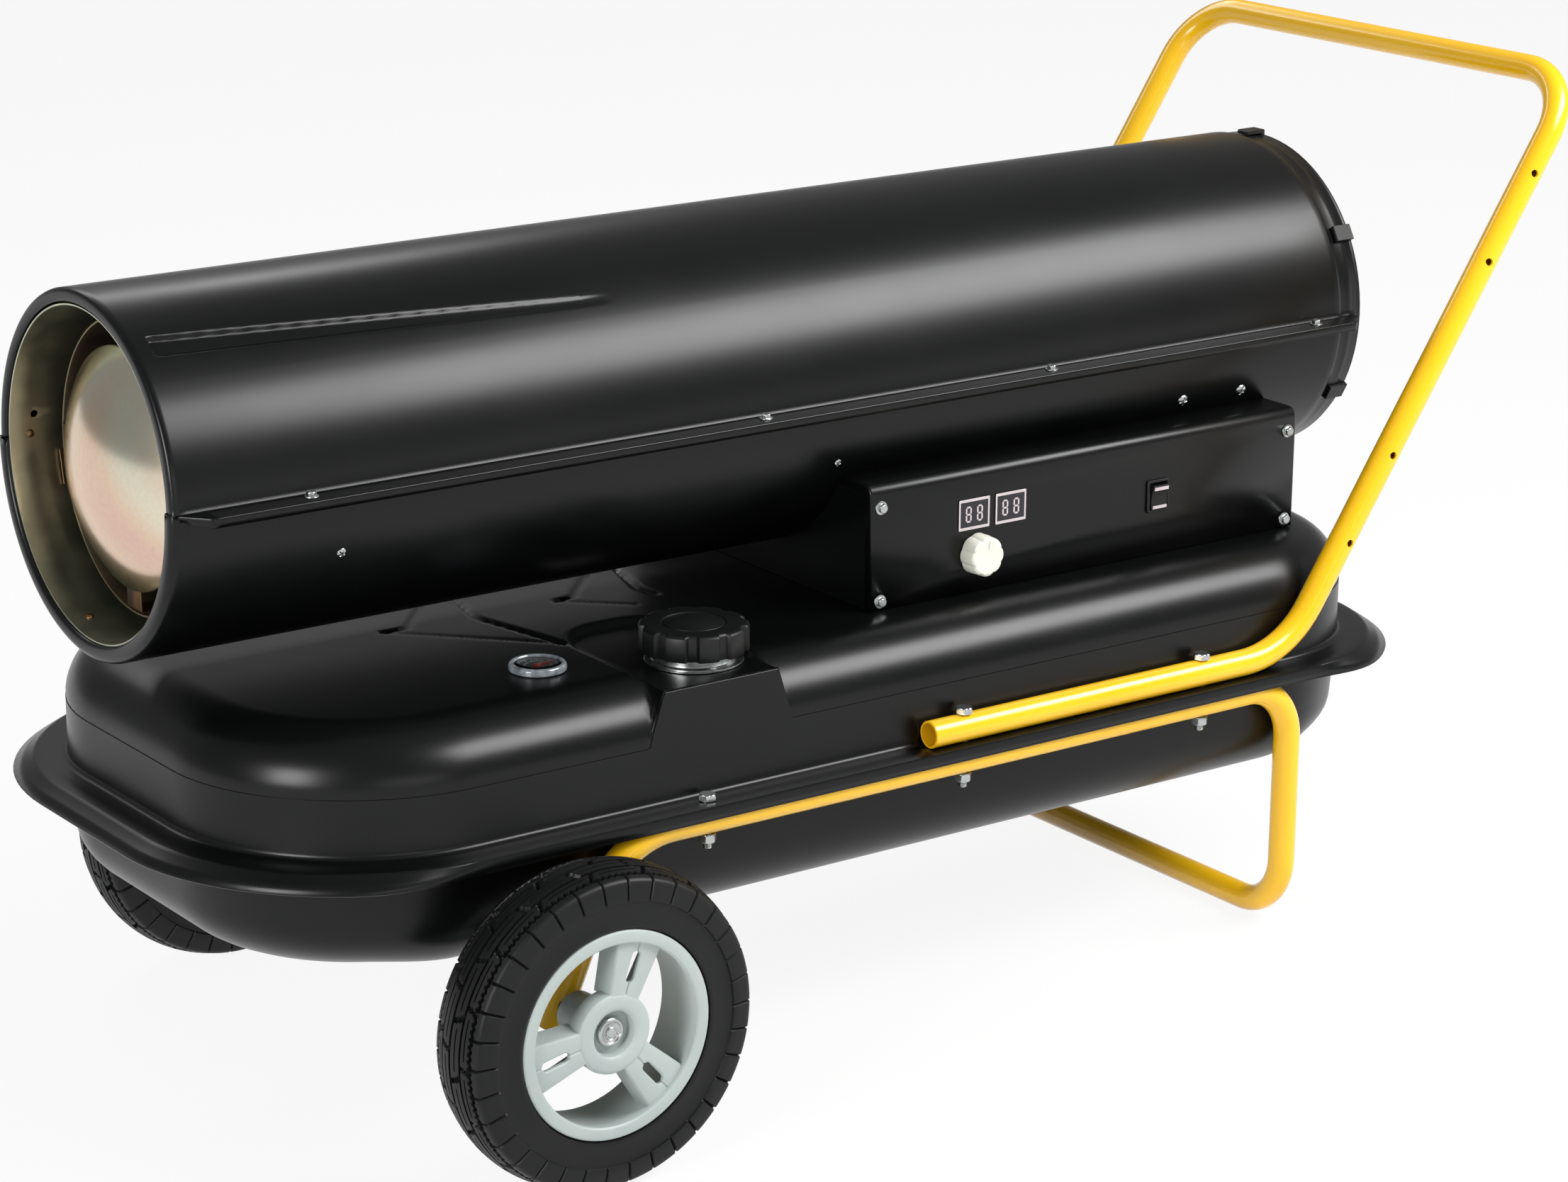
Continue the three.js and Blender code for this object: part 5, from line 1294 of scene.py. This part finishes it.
def makeGauge():
    gx, gy = tank["gauge"]
    dial = filler["dial"]
    seat = Matrix.Translation((gx, gy, 0))
    outline = [(0.05, 262), (9, 262), (9, 274.3), (17.4, 274.3), (18, 274.9), (18, dial + 1.6),
               (17.5, dial + 2.8), (16.9, dial + 3.3),
               (16.0, dial + 3.4), (15.0, dial + 3.3), (14.6, dial + 2.7), (14.6, dial), (0.05, dial)]
    # the bezel's pale grey is painted sheen in place of the clear ring's own light
    meshPiece("gauge_bezel", *moved(lathe(outline, 80, "z"), seat), "clearRing", sharp=30,
              replaces=["gauge_body"])
    marks = [lathe([(12.6, dial + 0.02), (12.6, dial + 0.3), (13.2, dial + 0.3), (13.2, dial + 0.02)], 64, "z",
                   closed=True),
             lathe([(8.2, dial + 0.02), (8.2, dial + 0.25), (8.6, dial + 0.25), (8.6, dial + 0.02)], 64, "z",
                   closed=True)]
    for k in range(9):
        tick = boxMesh((9.4, -0.3, dial + 0.02), (12.0 if k % 2 == 0 else 10.8, 0.3, dial + 0.3))
        marks.append(moved(tick, Matrix.Rotation(math.radians(20 * k - 60), 4, "Z")))
    meshPiece("gauge_marks", *moved(joined(marks), seat), "displaySegments")
    lens = [(0.02, dial + 3.25), (5, dial + 3.2), (10, dial + 3.1), (13.8, dial + 2.95), (14.3, dial + 2.7),
            (14.3, dial + 1.95),
            (10, dial + 1.9), (0.02, dial + 1.9)]
    meshPiece("gauge_lens_moulded", *moved(lathe(lens, 64, "z"), seat), "lensClear", replaces=["gauge_lens"])
    pointer = [(-3.0, 0.9), (-3.0, -0.9), (8.0, -0.7), (11.4, -0.15), (11.4, 0.15), (8.0, 0.7)]
    hub = lathe([(0.05, 1.35), (1.9, 1.3), (2.4, 0.9), (2.4, 0.4), (1.2, 0.4), (1.2, -2.4), (0.05, -2.4)], 24,
                "z")
    needle = joined([prism(pointer, 0.45, 1.05), hub])
    meshPiece("gauge_needle_pressed", *moved(needle, Matrix.Translation((gx, gy, dial))), "redPlastic",
              "needle",
              replaces=["gauge_needle"])
    print("gauge made")


# Rear guard, fan and motor.
rear = {
    "start": 917.3, "depth": 3.0, "rings": [(8, 17), (34, 37), (54, 57), (74, 77), (102, 109.9)], "hooks": 6,
    "hookHalf": 5.5, "hookReach": 13.0, "fanX": 728.0, "fanRadius": 95.0, "blades": 5, "hubRadius": 20.0,
    "motorFront": 752.0, "motorRear": 832.0, "motorRadius": 45.6, "gland": (90.0, 303.0),
}


def roundedRing(inner, outer, low, high, edge=0.6):
    return [(inner, low + edge), (inner + edge * 0.3, low + edge * 0.3), (inner + edge, low),
            (outer - edge, low),
            (outer - edge * 0.3, low + edge * 0.3), (outer, low + edge), (outer, high - edge),
            (outer - edge * 0.3, high - edge * 0.3), (outer - edge, high), (inner + edge, high),
            (inner + edge * 0.3, high - edge * 0.3), (inner, high - edge)]


def makeGuard():
    at = (0, 0, barrel["z"])
    start, end = rear["start"], rear["start"] + rear["depth"]
    parts = [lathe(roundedRing(a, b, start, end), 96, "x", at, True) for a, b in rear["rings"]]
    inside = barrel["radius"] - barrel["rearInset"] + 0.5
    hooks = []
    for k in range(rear["hooks"]):
        arm = Matrix.Translation(at) @ Matrix.Rotation(math.radians(60 * k + 30), 4, "X")
        parts.append(moved(prism(roundedRect((12 + 106) / 2, 0, 94, 4, 0.8, 3), start + 0.45, end - 0.45, "x"),
                           arm @ Matrix.Rotation(math.radians(90), 4, "X")))
        half = rear["hookHalf"]
        clip = Matrix.Translation(at) @ Matrix.Rotation(math.radians(60 * k), 4, "X")
        outline = [(start, 105), (end, 105), (end, inside + 2.1), (end - 0.7, inside + 2.8),
                   (start - rear["hookReach"] + 0.7, inside + 2.8),
                   (start - rear["hookReach"], inside + 2.1), (start - rear["hookReach"], inside),
                   (start, inside)]
        points = [(x, y, z) for y in (-half, half) for x, z in outline]
        n = len(outline)
        faces = [tuple(range(n)),
                 tuple(range(n, 2 * n))] + [(i, (i + 1) % n, n + (i + 1) % n, n + i) for i in range(n)]
        hooks.append(moved((points, faces), clip))
    guard = meshPiece("rear_guard_moulded", *joined(parts + hooks), "capPlastic", sharp=30,
                      replaces=["rear_guard"])
    soften(guard, 0.3, 1, 50)


def bladeMesh():
    camber = [(-12, -20), (-7.6, -14.2), (-2, -8), (2.0, -1.4), (5, 6), (7.0, 13.8), (8, 22)]
    def acrossAt(x):
        for (x0, y0), (x1, y1) in zip(camber, camber[1:]):
            if x <= x1:
                return y0 + (y1 - y0) * (x - x0) / (x1 - x0)
        return camber[-1][1]
    rows = []
    for k in range(15):
        r = 18 + (rear["fanRadius"] - 18) * k / 14
        spread = smooth(18, 66, r)
        low, high = -8 - 4 * spread, 5 + 3 * spread
        row = []
        for i in range(13):
            x = low + (high - low) * i / 12
            y = acrossAt(x)
            reach = math.sqrt(max(1.0, r * r - y * y))
            row.append((rear["fanX"] + x, y, reach))
        rows.append(row)
    return [p for row in rows for p in row], gridFaces(15, 13, ring=False)


def makeFan():
    at = Matrix.Translation((0, 0, barrel["z"]))
    blade = bladeMesh()
    blades = [moved(blade, at @ Matrix.Rotation(2 * math.pi * k / rear["blades"], 4,
                                                "X")) for k in range(rear["blades"])]
    x, r = rear["fanX"], rear["hubRadius"]
    hub = [(5.3, x - 14), (12, x - 14), (18.6, x - 11), (r, x - 8), (r, x + 11), (r - 1, x + 12), (5.3, x + 12)]
    piece = meshPiece("fan_blades", *joined(blades), "aluminiumCast", "fan", sharp=40, replaces=["fan"])
    sheet = piece.modifiers.new("sheet", "SOLIDIFY")
    sheet.thickness = 0.0014
    sheet.offset = 0
    meshPiece("fan_hub", *moved(lathe(hub, 48, "x", closed=True), at), "aluminiumCast", "fan")


def makeMotor():
    at = Matrix.Translation((0, 0, barrel["z"]))
    low, high, r = rear["motorFront"], rear["motorRear"], rear["motorRadius"]
    shell = [(6, low), (13, low), (15, low + 1.5), (17, low + 4), (38, low + 6), (42, low + 7.5),
             (r - 0.8, low + 9.5), (r, low + 11)]
    for k in range(12):
        ribX = low + 14 + k * 4.6
        shell += [(r, ribX), (r - 1.8, ribX + 0.5), (r - 1.8, ribX + 1.8), (r, ribX + 2.3)]
    shell += [(r, high - 8), (r - 1, high - 6), (41, high - 1), (38, high), (0.05, high)]
    meshPiece("motor_case", *moved(lathe(shell, 72, "x"), at), "aluminiumCast", replaces=["motor"])


def makeGland():
    gy, gz = rear["gland"]
    face = case["rear"] - case["sheet"]
    nut = moved(hexSolid(17.3, 5.0, 0.3),
                Matrix.Translation((face, gy, gz)) @ Matrix.Rotation(math.radians(90), 4, "Y"))
    dome = lathe([(4.1, 0), (6.4, 0), (6.4, 5), (6.4, 7.4), (6.0, 8.6), (5.2, 9.2), (4.2, 9.2), (4.0, 8.6)], 40,
                 "x",
                 (face, gy, gz), True)
    back = lathe([(4.1, -9), (6.4, -9), (6.4, 0), (4.1, 0)], 32, "x", (face, gy, gz), True)
    inner = moved(hexSolid(17.0, 4.5, 0.3),
                  Matrix.Translation((face - 6.6, gy, gz)) @ Matrix.Rotation(math.radians(90), 4, "Y"))
    meshPiece("cord_gland_moulded", *joined([nut, dome, back, inner]), "capPlastic", sharp=30,
              replaces=["cord_gland"])


def makeAxle():
    x, z = wheels["axle"]
    reach = wheels["offset"] + wheels["width"] / 2 - 8.4
    rod = [(0.05, -reach), (5.2, -reach), (6.0, -reach + 0.9), (6.0, reach - 0.9), (5.2, reach), (0.05, reach)]
    meshPiece("axle_rod", *lathe(rod, 40, "y", (x, 0, z)), "zincPlate", replaces=["axle"])
    print("rear made")


# Half the floor's size in metres, its paint, how much of it shows as plain white, and the world's light.
stage = {"half": 30, "pale": 0.86, "glowShare": 0.9, "glow": 1.0, "worldLight": 0.28}


def makeStage():
    h = stage["half"]
    floorMesh = bpy.data.meshes.new("floor")
    floorMesh.from_pydata([(-h, -h, 0), (h, -h, 0), (h, h, 0), (-h, h, 0)], [], [(0, 1, 2, 3)])
    floor = bpy.data.objects.new("floor", floorMesh)
    bpy.context.collection.objects.link(floor)
    material = newMaterial("floorPale")
    path = addNode(material, "ShaderNodeLightPath")
    seen = addNode(material, "ShaderNodeMath", {"operation": "MAXIMUM"},
                   {0: path.outputs["Is Camera Ray"], 1: path.outputs["Is Glossy Ray"]})
    seen = addNode(material, "ShaderNodeMath", {"operation": "MAXIMUM"},
                   {0: seen.outputs[0], 1: path.outputs["Is Transmission Ray"]})
    share = addNode(material, "ShaderNodeMath", {"operation": "MULTIPLY", 1: stage["glowShare"]},
                    {0: seen.outputs[0]})
    lit = addNode(material, "ShaderNodeBsdfDiffuse", {"Color": (stage["pale"],) * 3 + (1,)})
    glow = addNode(material, "ShaderNodeEmission", {"Color": (1, 1, 1, 1), "Strength": stage["glow"]})
    mixed = addNode(material, "ShaderNodeMixShader",
                    links={0: share.outputs[0], 1: lit.outputs[0], 2: glow.outputs[0]})
    finishMaterial(material, mixed)
    floorMesh.materials.append(material)
    world = bpy.data.worlds.new("world")
    world.use_nodes = True
    world.node_tree.nodes["Background"].inputs["Color"].default_value = (1, 1, 1, 1)
    world.node_tree.nodes["Background"].inputs["Strength"].default_value = stage["worldLight"]
    bpy.context.scene.world = world


# Softboxes: place, what they face, size in metres, power in watts.
lamps = {
    # wide one over the panel side, for the broad highlight along the barrel and the tank's shoulder
    "strip": {"at": (1.15, -1.2, 1.62), "aim": (0.35, 0, 0.42), "size": (1.6, 0.8), "power": 60},
    "front": {"at": (-1.9, -0.75, 0.85), "aim": (-0.45, 0, 0.4), "size": (0.6, 0.7), "power": 20},
    "back": {"at": (0.1, 2.0, 1.9), "aim": (0, 0, 0.45), "size": (2.2, 0.35), "power": 14},
    "low": {"at": (-0.6, -2.6, 0.7), "aim": (-0.2, 0, 0.2), "size": (1.6, 0.5), "power": 5},
}


def makeLamps():
    for name, lamp in lamps.items():
        data = bpy.data.lights.new(name, "AREA")
        data.shape = "RECTANGLE"
        data.size, data.size_y = lamp["size"]
        data.energy = lamp["power"]
        obj = bpy.data.objects.new(name, data)
        place, aim = Vector(lamp["at"]), Vector(lamp["aim"])
        obj.matrix_world = Matrix.Translation(place) @ (aim - place).to_track_quat("-Z",
                                                                                   "Y").to_matrix().to_4x4()
        bpy.context.collection.objects.link(obj)


# Carried-over nodes.
nodeLooks = {
    "blackPaint": ["upper_shell", "lower_shell", "tank_upper", "tank_lower", "control_case", "panel_cover",
                   "plain_cover"],
    "yellowPaint": ["handle_tube", "lower_tube"],
    "galvanised": ["outlet_liner", "motor_bracket"],
    "chamberSteel": ["combustion_chamber"],
    "domeSteel": ["flame_dome"],
    "strapSteel": ["dome_strap_1", "dome_strap_2", "dome_strap_3", "dome_strap_4", "chamber_bracket_1",
                   "chamber_bracket_2", "burner_head"],
    "brassBar": ["nozzle"],
    "ivoryPlastic": ["ignition_electrodes", "thermostat_knob", "fuel_filter"],
    "aluminiumCast": ["motor", "air_pump", "fan", "thermostat_pot"],
    "capPlastic": ["rear_guard", "rocker_bezel", "rocker", "cord_gland", "fuel_cap", "gauge_body", "air_line"],
    "zincPlate": ["motor_shaft", "filler_neck", "gauge_arm", "fuel_pickup", "fuel_line", "axle",
                  "axle_cap_near",
                  "axle_cap_far"] + [f"frame_bolt_{k}" for k in range(1, 7)],
    "displayWindow": ["room_display", "set_display"],
    "boardLacquer": ["control_board"],
    "redPlastic": ["ignition_transformer", "gauge_needle"],
    "sealRubber": ["cap_seal"],
    "lensClear": ["gauge_lens"],
    "tyreRubber": ["tyre_near", "tyre_far"],
    "rimPlastic": ["rim_near", "rim_far"],
}


def dressNodes():
    for look, names in nodeLooks.items():
        for name in names:
            obj = nodes[name]
            obj.data.materials.clear()
            obj.data.materials.append(mats[look])
    print("carried-over nodes dressed")


bpy.context.scene.view_settings.view_transform = "Standard"
makeCamera()
makeStage()
makeLamps()
dressNodes()
makeBarrel()
makeTubes()
makeBolts()
makeWheels()
makeTank()
makeCase()
makeScrews()
makeOutlet()
makeCap()
makeGauge()
makeGuard()
makeFan()
makeMotor()
makeGland()
makeAxle()
